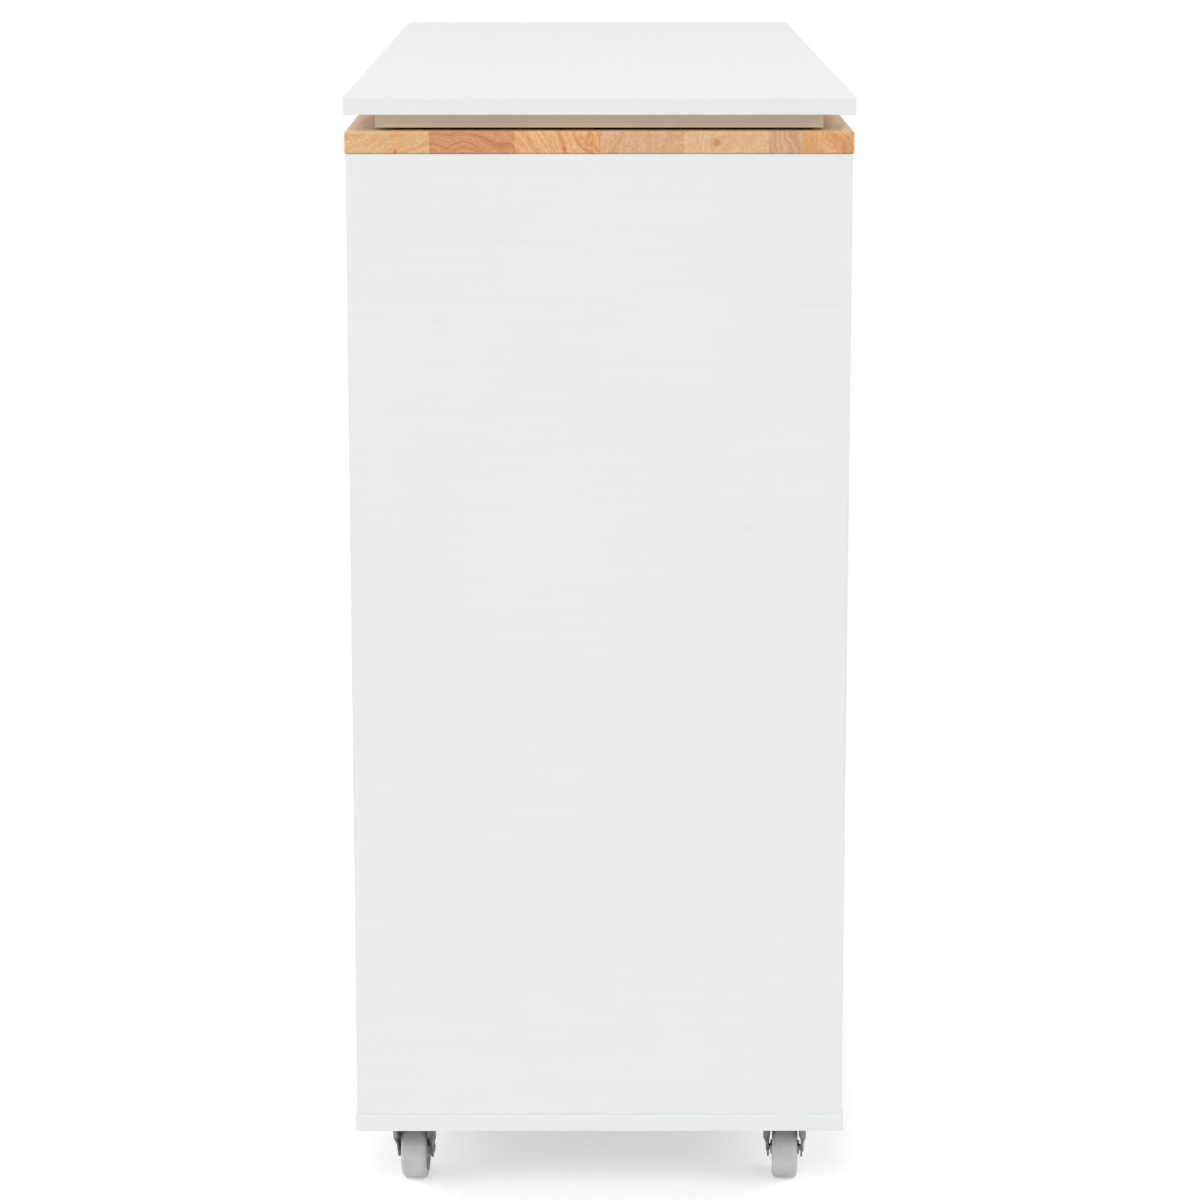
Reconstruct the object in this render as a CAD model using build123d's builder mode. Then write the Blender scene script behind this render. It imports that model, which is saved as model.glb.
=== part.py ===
from build123d import *
import math
import os

# Rolling kitchen island with a swivelling upper board, in millimetres.
# +Z is up. The doors and drawers face -Y, and the long side runs along X.
# The origin is on the floor, at the middle of the whole object's footprint.

os.makedirs("parts", exist_ok=True)

# Carcass
carcass_length = 1100.0
carcass_depth = 400.0
carcass_height = 792.5
panel_thickness = 15.0
back_thickness = 12.0
base_thickness = 14.0
base_overhang = 1.5
rail_depth = 70.0
drawer_bay_width = 340.0
edge_round = 0.8

# Worktop and the board that swivels over it
worktop_thickness = 18.0
worktop_overhang = 1.0
worktop_round = 2.0
swivel_height = 13.0
board_thickness = 13.5
board_overhang = 2.0
apron_side_inset = 25.0
apron_end_inset = 14.0
apron_clearance = 2.0
apron_strip = 15.0

# Ball bearing of the swivel, which clears the apron
ring_clearance = 12.0
race_width = 16.0
ring_flange_width = 50.0
ring_flange_thickness = 2.0
ball_diameter = 8.0
ball_count = 12
ball_clearance = 0.2
cage_thickness = 1.0
cage_width = 13.0
ring_screw_offset = 18.0
ring_screw_hole = 4.5
ring_screw_count = 6

# Doors
door_thickness = 15.0
door_recess = 1.0
hinge_gap = 3.0
meeting_gap = 3.0
door_height_gap = 2.0
hinge_edge_round = 2.0
pivot_inset = 7.5
pivot_diameter = 5.0
pivot_length_in_door = 14.0
pivot_length_in_bush = 7.0
bush_diameter = 9.0
bush_depth = 9.0
bush_flange_diameter = 13.0
running_clearance = 0.05
seat_clearance = 0.3

# Knobs
knob_projection = 21.0
knob_diameter = 26.0
knob_neck_diameter = 9.0
knob_base_diameter = 14.0
knob_base_thickness = 1.5
knob_head_thickness = 9.0
knob_rim_height = 4.0
knob_stem_diameter = 4.0
knob_stem_length = 9.0
knob_edge_distance = 35.0
knob_below_door_top = 120.0

# Magnetic catch
catch_length = 46.0
catch_depth = 14.0
catch_height = 14.0
strike_diameter = 10.0
strike_thickness = 1.2
strike_offset = 13.0
strike_below_door_top = 6.5

# Shelf
shelf_thickness = 15.0
shelf_hole_height = 450.0
shelf_hole_pitch = 32.0
shelf_hole_count = 5
shelf_setback = 12.0
shelf_side_clearance = 1.5
peg_diameter = 5.0
peg_depth = 10.0
peg_collar_diameter = 9.0
peg_collar_thickness = 1.0
peg_support_diameter = 8.0
peg_support_length = 9.0
peg_flat_height = 2.5
peg_row_inset = 60.0

# Drawers
drawer_count = 3
top_drawer_height = 190.0
drawer_gap = 2.5
drawer_wall = 12.0
drawer_back_clearance = 22.0
drawer_box_rise = 15.0
drawer_box_drop = 35.0
drawer_bottom_thickness = 4.0
drawer_bottom_rise = 10.0
groove_depth = 5.0
groove_clearance = 0.2

# Telescopic slides
slide_width = 12.7
slide_setback = 3.0
slide_back_margin = 2.0
slide_rise = 42.0
slide_wall = 1.2
slide_corner = 1.6
outer_member_height = 45.0
outer_member_depth = 10.0
middle_member_height = 41.6
middle_member_start = 2.2
middle_member_end = 11.2
inner_member_height = 38.2
inner_member_start = 4.4

# Casters
caster_height = 62.0
caster_inset_end = 46.0
caster_inset_side = 44.5
caster_yaw = 4.0
caster_trail = 16.0
wheel_diameter = 50.8
wheel_width = 21.0
wheel_shoulder = 4.0
wheel_recess = 3.0
wheel_rim = 6.0
hub_diameter = 16.0
plate_size = 52.0
plate_thickness = 2.0
plate_corner = 5.0
plate_screw_spacing = 38.0
plate_screw_hole = 4.8
race_cup_diameter = 34.0
race_cup_height = 4.5
fork_diameter = 36.0
fork_sheet = 1.5
fork_head_thickness = 2.5
fork_head_gap = 0.4
fork_leg_spread = 26.6
fork_leg_end_radius = 8.0
fork_leg_half_angle = 43.0
fork_curve_height = 38.0
fork_flat_height = 26.5
kingpin_diameter = 8.0
kingpin_head_diameter = 14.0
kingpin_head_height = 2.0
axle_diameter = 5.6
axle_head_diameter = 8.0
axle_head_height = 1.2
washer_diameter = 12.0
washer_thickness = 1.3
washer_gap = 0.3
axle_seat_margin = 0.4

# Brake of the two far casters
brake_pivot_trail = 34.0
brake_pivot_height = 51.0
brake_pivot_diameter = 4.0
brake_rivet_head_diameter = 7.0
brake_rivet_head_height = 1.2
brake_ear_radius = 5.0
brake_lever_clearance = 0.4
brake_lever_boss = 3.4
brake_lever_sheet = 2.2
brake_pedal_reach = 45.0
brake_pedal_rise = 4.0
brake_nose_gap = 1.7
brake_nose_drop = 6.0

# Heights of the boards, from the floor up
base_top = caster_height + base_thickness
carcass_top = base_top + carcass_height
worktop_top = carcass_top + worktop_thickness
board_bottom = worktop_top + swivel_height
rail_bottom = carcass_top - panel_thickness

# Places along Y. The knobs stand out further in front than the upper board does at the back.
knob_reach = knob_projection - door_recess
front_y = (knob_reach - carcass_depth - board_overhang) / 2
back_y = front_y + carcass_depth
middle_y = front_y + carcass_depth / 2
door_front_y = front_y + door_recess
door_back_y = door_front_y + door_thickness
back_panel_y = back_y - back_thickness

# Places along X
end_x = carcass_length / 2
bay_left_x = panel_thickness - end_x
bay_right_x = bay_left_x + drawer_bay_width
cupboard_left_x = bay_right_x + panel_thickness
cupboard_right_x = end_x - panel_thickness
cupboard_middle_x = (cupboard_left_x + cupboard_right_x) / 2
door_width = (cupboard_right_x - cupboard_left_x - meeting_gap) / 2 - hinge_gap
swivel_x = carcass_depth / 2 - end_x

# The hinge side of each door: its wall, and the way from that wall into the cupboard
doors = {
    "right_door": {"wall_x": cupboard_right_x, "inward": -1},
    "left_door": {"wall_x": cupboard_left_x, "inward": 1},
}
for door in doors.values():
    door["pivot_x"] = door["wall_x"] + door["inward"] * (hinge_gap + pivot_inset)
    door["middle_x"] = door["wall_x"] + door["inward"] * (hinge_gap + door_width / 2)
pivot_y = door_front_y + pivot_inset
pivot_points = [(door["pivot_x"], pivot_y) for door in doors.values()]

# Both walls of the cupboard have shelf pin holes at these places
peg_rows_y = (door_back_y + peg_row_inset, back_panel_y - peg_row_inset)
first_peg_z = shelf_hole_height - shelf_hole_pitch * (shelf_hole_count - 1) / 2
peg_heights = [first_peg_z + shelf_hole_pitch * step for step in range(shelf_hole_count)]

# Board between the casters and the carcass, with a blind hole for each lower pivot bush
with BuildPart() as base_board:
    with BuildSketch(Plane.XY.offset(caster_height)):
        with Locations((0, middle_y)):
            Rectangle(carcass_length + 2 * base_overhang, carcass_depth + 2 * base_overhang)
    extrude(amount=base_thickness)
    fillet(base_board.edges(), edge_round)
    with BuildSketch(Plane.XY.offset(base_top)):
        with Locations(pivot_points):
            Circle(bush_diameter / 2)
    extrude(amount=-bush_depth, mode=Mode.SUBTRACT)
base_board.part.label = "base_board"
export_step(base_board.part, "parts/base_board.step")


# An upright board that runs from the base board to the worktop, with eased front and back edges
def upright(left_x, right_x, near_y, far_y, pegged_face_x=None, into_board=1):
    with BuildPart() as board:
        with BuildSketch(Plane.XY.offset(base_top)):
            with Locations(((left_x + right_x) / 2, (near_y + far_y) / 2)):
                Rectangle(right_x - left_x, far_y - near_y)
        extrude(amount=carcass_height)
        fillet(board.edges().filter_by(Axis.Z), edge_round)
        if pegged_face_x is not None:
            pegged_face = Plane(origin=(pegged_face_x, 0, 0), x_dir=(0, 1, 0), z_dir=(1, 0, 0))
            with BuildSketch(pegged_face):
                with Locations([(y, z) for y in peg_rows_y for z in peg_heights]):
                    Circle(peg_diameter / 2)
            extrude(amount=into_board * peg_depth, mode=Mode.SUBTRACT)
    return board


right_end_panel = upright(cupboard_right_x, end_x, front_y, back_y, cupboard_right_x, 1)
right_end_panel.part.label = "right_end_panel"
export_step(right_end_panel.part, "parts/right_end_panel.step")

left_end_panel = upright(-end_x, bay_left_x, front_y, back_y)
left_end_panel.part.label = "left_end_panel"
export_step(left_end_panel.part, "parts/left_end_panel.step")

partition = upright(bay_right_x, cupboard_left_x, front_y, back_panel_y, cupboard_left_x, -1)
partition.part.label = "partition"
export_step(partition.part, "parts/partition.step")

back_panel = upright(bay_left_x, cupboard_right_x, back_panel_y, back_y)
back_panel.part.label = "back_panel"
export_step(back_panel.part, "parts/back_panel.step")


# Rails under the worktop: a front one and a back one in each bay, with the upper bush holes
with BuildPart() as top_rails:
    with BuildSketch(Plane.XY.offset(rail_bottom)):
        for left_x, right_x in ((bay_left_x, bay_right_x), (cupboard_left_x, cupboard_right_x)):
            for near_y in (front_y, back_panel_y - rail_depth):
                with Locations(((left_x + right_x) / 2, near_y)):
                    Rectangle(right_x - left_x, rail_depth, align=(Align.CENTER, Align.MIN))
    extrude(amount=panel_thickness)
    fillet(top_rails.edges().filter_by(Axis.X), edge_round)
    with BuildSketch(Plane.XY.offset(rail_bottom)):
        with Locations(pivot_points):
            Circle(bush_diameter / 2)
    extrude(amount=bush_depth, mode=Mode.SUBTRACT)
top_rails.part.label = "top_rails"
export_step(top_rails.part, "parts/top_rails.step")

# Rubberwood worktop
with BuildPart() as worktop:
    with BuildSketch(Plane.XY.offset(carcass_top)):
        with Locations((0, middle_y)):
            Rectangle(carcass_length + 2 * worktop_overhang, carcass_depth + 2 * worktop_overhang)
    extrude(amount=worktop_thickness)
    fillet(worktop.edges(), worktop_round)
worktop.part.label = "worktop"
export_step(worktop.part, "parts/worktop.step")

# Loose shelf of the cupboard
shelf_bottom = shelf_hole_height + peg_flat_height
shelf_front_y = door_back_y + shelf_setback
shelf_back_y = back_panel_y - shelf_side_clearance
shelf_width = cupboard_right_x - cupboard_left_x - 2 * shelf_side_clearance
with BuildPart() as shelf:
    with BuildSketch(Plane.XY.offset(shelf_bottom)):
        with Locations((cupboard_middle_x, (shelf_front_y + shelf_back_y) / 2)):
            Rectangle(shelf_width, shelf_back_y - shelf_front_y)
    extrude(amount=shelf_thickness)
    fillet(shelf.edges().filter_by(Axis.X), edge_round)
shelf.part.label = "shelf"
export_step(shelf.part, "parts/shelf.step")

# Four shelf pins: a shank in the wall, a collar against it and a support, flat on top like the collar
with BuildPart() as shelf_pins:
    for wall_x, into_cupboard in ((cupboard_left_x, 1), (cupboard_right_x, -1)):
        wall_face = Plane(origin=(wall_x, 0, 0), x_dir=(0, 1, 0), z_dir=(1, 0, 0))
        pin_points = [(y, shelf_hole_height) for y in peg_rows_y]
        with BuildSketch(wall_face):
            with Locations(pin_points):
                Circle(peg_diameter / 2)
        extrude(amount=-into_cupboard * (peg_depth - seat_clearance))
        with BuildSketch(wall_face):
            with Locations(pin_points):
                Circle(peg_collar_diameter / 2)
        extrude(amount=into_cupboard * peg_collar_thickness)
        with BuildSketch(wall_face):
            with Locations(pin_points):
                Circle(peg_support_diameter / 2)
        extrude(amount=into_cupboard * peg_support_length)
    split(bisect_by=Plane.XY.offset(shelf_bottom), keep=Keep.BOTTOM)
shelf_pins.part.label = "shelf_pins"
export_step(shelf_pins.part, "parts/shelf_pins.step")

# Flanged bushes for the door pivots: a blind one in the base board and one in the rail above
bush_flange = door_height_gap - seat_clearance
bush_bore = pivot_diameter / 2 + running_clearance
with BuildPart() as pivot_bushes:
    for face_z, into_board in ((base_top, -1), (rail_bottom, 1)):
        with BuildSketch(Plane.XY.offset(face_z)):
            with Locations(pivot_points):
                Circle(bush_diameter / 2)
        extrude(amount=into_board * bush_depth)
        with BuildSketch(Plane.XY.offset(face_z)):
            with Locations(pivot_points):
                Circle(bush_flange_diameter / 2)
        extrude(amount=-into_board * bush_flange)
        with BuildSketch(Plane.XY.offset(face_z - into_board * bush_flange)):
            with Locations(pivot_points):
                Circle(bush_bore)
        extrude(amount=into_board * (bush_flange + pivot_length_in_bush), mode=Mode.SUBTRACT)
pivot_bushes.part.label = "pivot_bushes"
export_step(pivot_bushes.part, "parts/pivot_bushes.step")

# Twin magnetic catch under the front rail, over the line where the doors meet
strike_y = door_back_y + strike_thickness
catch_y = strike_y + seat_clearance
with BuildPart() as magnetic_catch:
    with BuildSketch(Plane.XY.offset(rail_bottom)):
        with Locations((cupboard_middle_x, catch_y + catch_depth / 2)):
            Rectangle(catch_length, catch_depth)
    extrude(amount=-catch_height)
    fillet(magnetic_catch.edges().filter_by(Axis.Z), 2 * edge_round)
magnetic_catch.part.label = "magnetic_catch"
export_step(magnetic_catch.part, "parts/magnetic_catch.step")

# Turned knob: its foot lies on the panel and its threaded stem goes into it
with BuildPart() as knob:
    with BuildSketch():
        with BuildLine():
            foot = knob_base_diameter / 2
            neck = knob_neck_diameter / 2
            stem = knob_stem_diameter / 2
            rim = knob_diameter / 2
            head_y = knob_head_thickness - knob_projection
            rim_y = knob_rim_height - knob_projection
            Polyline(
                (0, -knob_projection),
                (0, knob_stem_length),
                (stem, knob_stem_length),
                (stem, 0),
                (foot, 0),
                (foot, -knob_base_thickness),
                (neck, -knob_base_thickness + neck - foot),
                (neck, head_y),
            )
            ThreePointArc((neck, head_y), (0.8 * rim, rim_y + 0.4 * (head_y - rim_y)), (rim, rim_y))
            TangentArc((0, -knob_projection), (rim, rim_y), tangent=(1, 0))
        make_face()
    revolve(axis=Axis.Y)


# The knob, moved so that its foot lies on a front panel at the given place
def placed_knob(x, z):
    with BuildPart() as copy:
        with Locations((x, door_front_y, z)):
            add(knob.part)
    return copy


# Doors, each on two pivots in line with its hinge edge
door_bottom = base_top + door_height_gap
door_height = rail_bottom - door_height_gap - door_bottom
strike_z = door_bottom + door_height - strike_below_door_top
for name, door in doors.items():
    inward = door["inward"]
    free_edge_x = door["wall_x"] + inward * (hinge_gap + door_width)
    knob_x = free_edge_x - inward * knob_edge_distance
    knob_z = door_bottom + door_height - knob_below_door_top
    strike_x = cupboard_middle_x - inward * strike_offset
    pivot_point = (door["pivot_x"], pivot_y)

    with BuildPart() as panel:
        with BuildSketch(Plane.XY.offset(door_bottom)):
            with Locations((door["middle_x"], door_front_y + door_thickness / 2)):
                Rectangle(door_width, door_thickness)
        extrude(amount=door_height)
        uprights = panel.edges().filter_by(Axis.Z).sort_by(Axis.X)
        hinge_edges = uprights[-2:] if inward < 0 else uprights[:2]
        free_edges = uprights[:2] if inward < 0 else uprights[-2:]
        fillet(hinge_edges, hinge_edge_round)
        fillet(free_edges, edge_round)
        for face_z, into_door in ((door_bottom, 1), (door_bottom + door_height, -1)):
            with BuildSketch(Plane.XY.offset(face_z)):
                with Locations(pivot_point):
                    Circle(pivot_diameter / 2)
            extrude(amount=into_door * pivot_length_in_door, mode=Mode.SUBTRACT)
        with BuildSketch(Plane.XZ.offset(-door_front_y)):
            with Locations((knob_x, knob_z)):
                Circle(knob_stem_diameter / 2)
        extrude(amount=-knob_stem_length, mode=Mode.SUBTRACT)
    panel.part.label = name
    export_step(panel.part, f"parts/{name}.step")

    with BuildPart() as pivots:
        for face_z, into_door in ((door_bottom, 1), (door_bottom + door_height, -1)):
            with BuildSketch(Plane.XY.offset(face_z + into_door * pivot_length_in_door)):
                with Locations(pivot_point):
                    Circle(pivot_diameter / 2)
            shown = door_height_gap + pivot_length_in_bush - 2 * seat_clearance
            extrude(amount=-into_door * (pivot_length_in_door + shown))
    pivots.part.label = f"{name}_pivots"
    export_step(pivots.part, f"parts/{name}_pivots.step")

    handle = placed_knob(knob_x, knob_z)
    handle.part.label = f"{name}_knob"
    export_step(handle.part, f"parts/{name}_knob.step")

    with BuildPart() as strike:
        with BuildSketch(Plane.XZ.offset(-door_back_y)):
            with Locations((strike_x, strike_z)):
                Circle(strike_diameter / 2)
        extrude(amount=-strike_thickness)
    strike.part.label = f"{name}_strike"
    export_step(strike.part, f"parts/{name}_strike.step")

# Drawer fronts fill the bay from the base board to the rail, the top one shallower than the others
bay_height = rail_bottom - base_top
lower_height = (bay_height - top_drawer_height - (drawer_count + 1) * drawer_gap) / (drawer_count - 1)
front_heights = [top_drawer_height] + [lower_height] * (drawer_count - 1)
front_bottoms = []
next_top = rail_bottom - drawer_gap
for height in front_heights:
    front_bottoms.append(next_top - height)
    next_top -= height + drawer_gap

bay_middle_x = (bay_left_x + bay_right_x) / 2
box_width = drawer_bay_width - 2 * slide_width
box_back_y = back_panel_y - drawer_back_clearance
drawer_box_length = box_back_y - door_back_y
slide_front_y = door_back_y + slide_setback
slide_back_y = box_back_y - slide_back_margin
slide_length = slide_back_y - slide_front_y
slide_heights = [bottom + drawer_box_rise + slide_rise for bottom in front_bottoms]

# The two walls of the drawer bay that slides lie on, and the way from each towards the drawer
bay_walls = ((bay_left_x, 1), (bay_right_x, -1))


# One C-shaped slide member for each wall at each height. Its web and its mouth are given as
# distances from the wall, and it is drawn in the XZ plane and runs forward from the slide's back.
def slide_members(web, mouth, height, levels):
    opening = 1 if mouth > web else -1
    with BuildPart() as members:
        with BuildSketch(Plane.XZ.offset(-slide_back_y)):
            for wall_x, toward_drawer in bay_walls:
                middle_x = wall_x + toward_drawer * (web + mouth) / 2
                hollow_x = middle_x + toward_drawer * opening * slide_wall
                with Locations([(middle_x, level) for level in levels]):
                    RectangleRounded(abs(mouth - web), height, slide_corner)
                square_x = wall_x + toward_drawer * (mouth - opening * slide_corner / 2)
                with Locations([(square_x, level) for level in levels]):
                    Rectangle(slide_corner, height)
                with Locations([(hollow_x, level) for level in levels]):
                    Rectangle(abs(mouth - web), height - 2 * slide_wall, mode=Mode.SUBTRACT)
        extrude(amount=slide_length)
    return members


outer_slides = slide_members(0, outer_member_depth, outer_member_height, slide_heights)
outer_slides.part.label = "slide_outer_members"
export_step(outer_slides.part, "parts/slide_outer_members.step")

for number, (front_bottom, front_height, slide_z) in enumerate(
    zip(front_bottoms, front_heights, slide_heights), start=1
):
    name = f"drawer_{number}"
    box_bottom = front_bottom + drawer_box_rise
    box_height = front_height - drawer_box_rise - drawer_box_drop
    bottom_z = box_bottom + drawer_bottom_rise
    groove_height = drawer_bottom_thickness + 2 * groove_clearance
    inner_width = box_width - 2 * drawer_wall
    groove_width = inner_width + 2 * groove_depth
    groove_y = door_back_y - groove_depth

    with BuildPart() as front:
        with BuildSketch(Plane.XY.offset(front_bottom)):
            with Locations((bay_middle_x, door_front_y + door_thickness / 2)):
                Rectangle(drawer_bay_width - 2 * drawer_gap, door_thickness)
        extrude(amount=front_height)
        fillet(front.edges().group_by(Axis.Y)[0], edge_round)
        with BuildSketch(Plane.XY.offset(bottom_z - groove_clearance)):
            with Locations((bay_middle_x, groove_y)):
                Rectangle(groove_width, groove_depth, align=(Align.CENTER, Align.MIN))
        extrude(amount=groove_height, mode=Mode.SUBTRACT)
        with BuildSketch(Plane.XZ.offset(-door_front_y)):
            with Locations((bay_middle_x, front_bottom + front_height / 2)):
                Circle(knob_stem_diameter / 2)
        extrude(amount=-knob_stem_length, mode=Mode.SUBTRACT)
    front.part.label = f"{name}_front"
    export_step(front.part, f"parts/{name}_front.step")

    with BuildPart() as box:
        with BuildSketch(Plane.XY.offset(box_bottom)):
            with Locations((bay_middle_x, door_back_y)):
                with GridLocations(inner_width + drawer_wall, 0, 2, 1):
                    Rectangle(drawer_wall, drawer_box_length, align=(Align.CENTER, Align.MIN))
        extrude(amount=box_height)
        with BuildSketch(Plane.XY.offset(bottom_z - groove_clearance)):
            with Locations((bay_middle_x, door_back_y)):
                Rectangle(groove_width, drawer_box_length, align=(Align.CENTER, Align.MIN))
        extrude(amount=groove_height, mode=Mode.SUBTRACT)
    with BuildPart() as box_back:
        back_z = bottom_z + drawer_bottom_thickness + groove_clearance
        with BuildSketch(Plane.XY.offset(back_z)):
            with Locations((bay_middle_x, box_back_y)):
                Rectangle(inner_width, drawer_wall, align=(Align.CENTER, Align.MAX))
        extrude(amount=box_bottom + box_height - back_z)
    walls = Compound(label=f"{name}_box", children=[*box.part.solids(), *box_back.part.solids()])
    export_step(walls, f"parts/{name}_box.step")

    with BuildPart() as bottom:
        reach = groove_depth - groove_clearance
        with BuildSketch(Plane.XY.offset(bottom_z)):
            with Locations((bay_middle_x, door_back_y - reach)):
                Rectangle(
                    inner_width + 2 * reach,
                    drawer_box_length + reach,
                    align=(Align.CENTER, Align.MIN),
                )
        extrude(amount=drawer_bottom_thickness)
    bottom.part.label = f"{name}_bottom"
    export_step(bottom.part, f"parts/{name}_bottom.step")

    handle = placed_knob(bay_middle_x, front_bottom + front_height / 2)
    handle.part.label = f"{name}_knob"
    export_step(handle.part, f"parts/{name}_knob.step")

    middle = slide_members(middle_member_start, middle_member_end, middle_member_height, [slide_z])
    middle.part.label = f"{name}_slide_middle"
    export_step(middle.part, f"parts/{name}_slide_middle.step")

    inner = slide_members(slide_width, inner_member_start, inner_member_height, [slide_z])
    inner.part.label = f"{name}_slide_inner"
    export_step(inner.part, f"parts/{name}_slide_inner.step")

# Upper board
with BuildPart() as upper_board:
    with BuildSketch(Plane.XY.offset(board_bottom)):
        with Locations((0, middle_y)):
            Rectangle(carcass_length + 2 * board_overhang, carcass_depth + 2 * board_overhang)
    extrude(amount=board_thickness)
    fillet(upper_board.edges(), edge_round)
upper_board.part.label = "upper_board"
export_step(upper_board.part, "parts/upper_board.step")

# Apron: four strips under the upper board, which hide the bearing and stop short of the worktop
apron_length = carcass_length + 2 * (board_overhang - apron_end_inset)
apron_width = carcass_depth + 2 * (board_overhang - apron_side_inset)
apron_height = swivel_height - apron_clearance
with BuildPart() as apron_long:
    with BuildSketch(Plane.XY.offset(board_bottom)):
        with Locations((0, middle_y)):
            with GridLocations(0, apron_width - apron_strip, 1, 2):
                Rectangle(apron_length, apron_strip)
    extrude(amount=-apron_height)
with BuildPart() as apron_short:
    with BuildSketch(Plane.XY.offset(board_bottom)):
        with Locations((0, middle_y)):
            with GridLocations(apron_length - apron_strip, 0, 2, 1):
                Rectangle(apron_strip, apron_width - 2 * apron_strip)
    extrude(amount=-apron_height)
apron = Compound(label="apron", children=[*apron_long.part.solids(), *apron_short.part.solids()])
export_step(apron, "parts/apron.step")

# Swivel bearing: a lower ring on the worktop, an upper ring under the board, and balls in a cage
# that run in facing grooves. Each ring is a flat flange with a raised race.
ball_z = worktop_top + swivel_height / 2
race_gap = cage_thickness + 2 * seat_clearance
race_radius = apron_width / 2 - apron_strip - ring_clearance - ring_flange_width / 2
ring_screw_radius = race_radius + ring_screw_offset


def bearing_ring(face_z, toward_balls):
    race_z = ball_z - toward_balls * race_gap / 2
    with BuildPart() as ring:
        with BuildSketch(Plane.XZ.offset(-middle_y)):
            with Locations((swivel_x + race_radius, (face_z + race_z) / 2)):
                Rectangle(race_width, abs(race_z - face_z))
            flange_z = face_z + toward_balls * ring_flange_thickness / 2
            with Locations((swivel_x + race_radius, flange_z)):
                Rectangle(ring_flange_width, ring_flange_thickness)
            with Locations((swivel_x + race_radius, ball_z)):
                Circle(ball_diameter / 2 + ball_clearance, mode=Mode.SUBTRACT)
        revolve(axis=Axis((swivel_x, middle_y, 0), (0, 0, 1)))
        with BuildSketch(Plane.XY.offset(face_z)):
            with Locations((swivel_x, middle_y)):
                with PolarLocations(ring_screw_radius, ring_screw_count):
                    Circle(ring_screw_hole / 2)
        extrude(amount=toward_balls * ring_flange_thickness, mode=Mode.SUBTRACT)
    return ring


lower_ring = bearing_ring(worktop_top, 1)
lower_ring.part.label = "swivel_lower_ring"
export_step(lower_ring.part, "parts/swivel_lower_ring.step")

upper_ring = bearing_ring(board_bottom, -1)
upper_ring.part.label = "swivel_upper_ring"
export_step(upper_ring.part, "parts/swivel_upper_ring.step")

with BuildPart() as ball_cage:
    with BuildSketch(Plane.XY.offset(ball_z - cage_thickness / 2)):
        with Locations((swivel_x, middle_y)):
            Circle(race_radius + cage_width / 2)
            Circle(race_radius - cage_width / 2, mode=Mode.SUBTRACT)
            with PolarLocations(race_radius, ball_count):
                Circle(ball_diameter / 2 + ball_clearance, mode=Mode.SUBTRACT)
    extrude(amount=cage_thickness)
    with Locations((swivel_x, middle_y, ball_z)):
        with PolarLocations(race_radius, ball_count):
            Sphere(ball_diameter / 2)
ball_cage.part.label = "swivel_ball_cage"
export_step(ball_cage.part, "parts/swivel_ball_cage.step")

# Casters are drawn about their swivel axis, with the wheel trailing along +X, and then placed
axle_height = wheel_diameter / 2
plate_bottom = caster_height - plate_thickness
cup_bottom = plate_bottom - race_cup_height
head_top = cup_bottom - fork_head_gap
head_bottom = head_top - fork_head_thickness
leg_outer = fork_leg_spread / 2 + fork_sheet
leg_edge_y = (fork_diameter / 2 - fork_sheet) * math.cos(math.radians(fork_leg_half_angle))
ear_inner_y = leg_edge_y + fork_sheet / 4
ear_outer = ear_inner_y + fork_sheet

# Top plate with its race cup, riveted kingpin hole and four screw holes
with BuildPart() as plate:
    with BuildSketch(Plane.XY.offset(plate_bottom)):
        RectangleRounded(plate_size, plate_size, plate_corner)
        with GridLocations(plate_screw_spacing, plate_screw_spacing, 2, 2):
            Circle(plate_screw_hole / 2, mode=Mode.SUBTRACT)
    extrude(amount=plate_thickness)
    with BuildSketch(Plane.XY.offset(plate_bottom)):
        Circle(race_cup_diameter / 2)
    extrude(amount=-race_cup_height, taper=18)
    with BuildSketch(Plane.XY.offset(caster_height)):
        Circle(kingpin_diameter / 2)
    extrude(amount=-caster_height, mode=Mode.SUBTRACT)

# Kingpin, headed under the fork
with BuildPart() as kingpin:
    with BuildSketch(Plane.XY.offset(caster_height)):
        Circle(kingpin_diameter / 2)
    extrude(amount=head_bottom - seat_clearance - caster_height)
    with BuildSketch(Plane.XY.offset(head_bottom - seat_clearance)):
        Circle(kingpin_head_diameter / 2)
    extrude(amount=-kingpin_head_height, taper=20)


# Cross-section of one fork leg where it follows the round head, at a height and a way along the trail
def curved_leg_section(height, along, half_angle):
    outer = fork_diameter / 2
    inner = outer - fork_sheet
    start = 90 - half_angle
    with BuildSketch(Plane.XY.offset(height)) as section:
        with BuildLine():
            far_arc = CenterArc((along, 0), outer, start, 2 * half_angle)
            near_arc = CenterArc((along, 0), inner, start, 2 * half_angle)
            Line(far_arc @ 0, near_arc @ 0)
            Line(far_arc @ 1, near_arc @ 1)
        make_face()
    return section


# Cross-section of the leg where it is flat, a little wider than the leg is after its trim
def flat_leg_section(height):
    with BuildSketch(Plane.XY.offset(height)) as section:
        with Locations((caster_trail, fork_leg_spread / 2)):
            Rectangle(2 * (fork_leg_end_radius + fork_sheet), fork_sheet, align=(Align.CENTER, Align.MIN))
    return section


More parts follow.
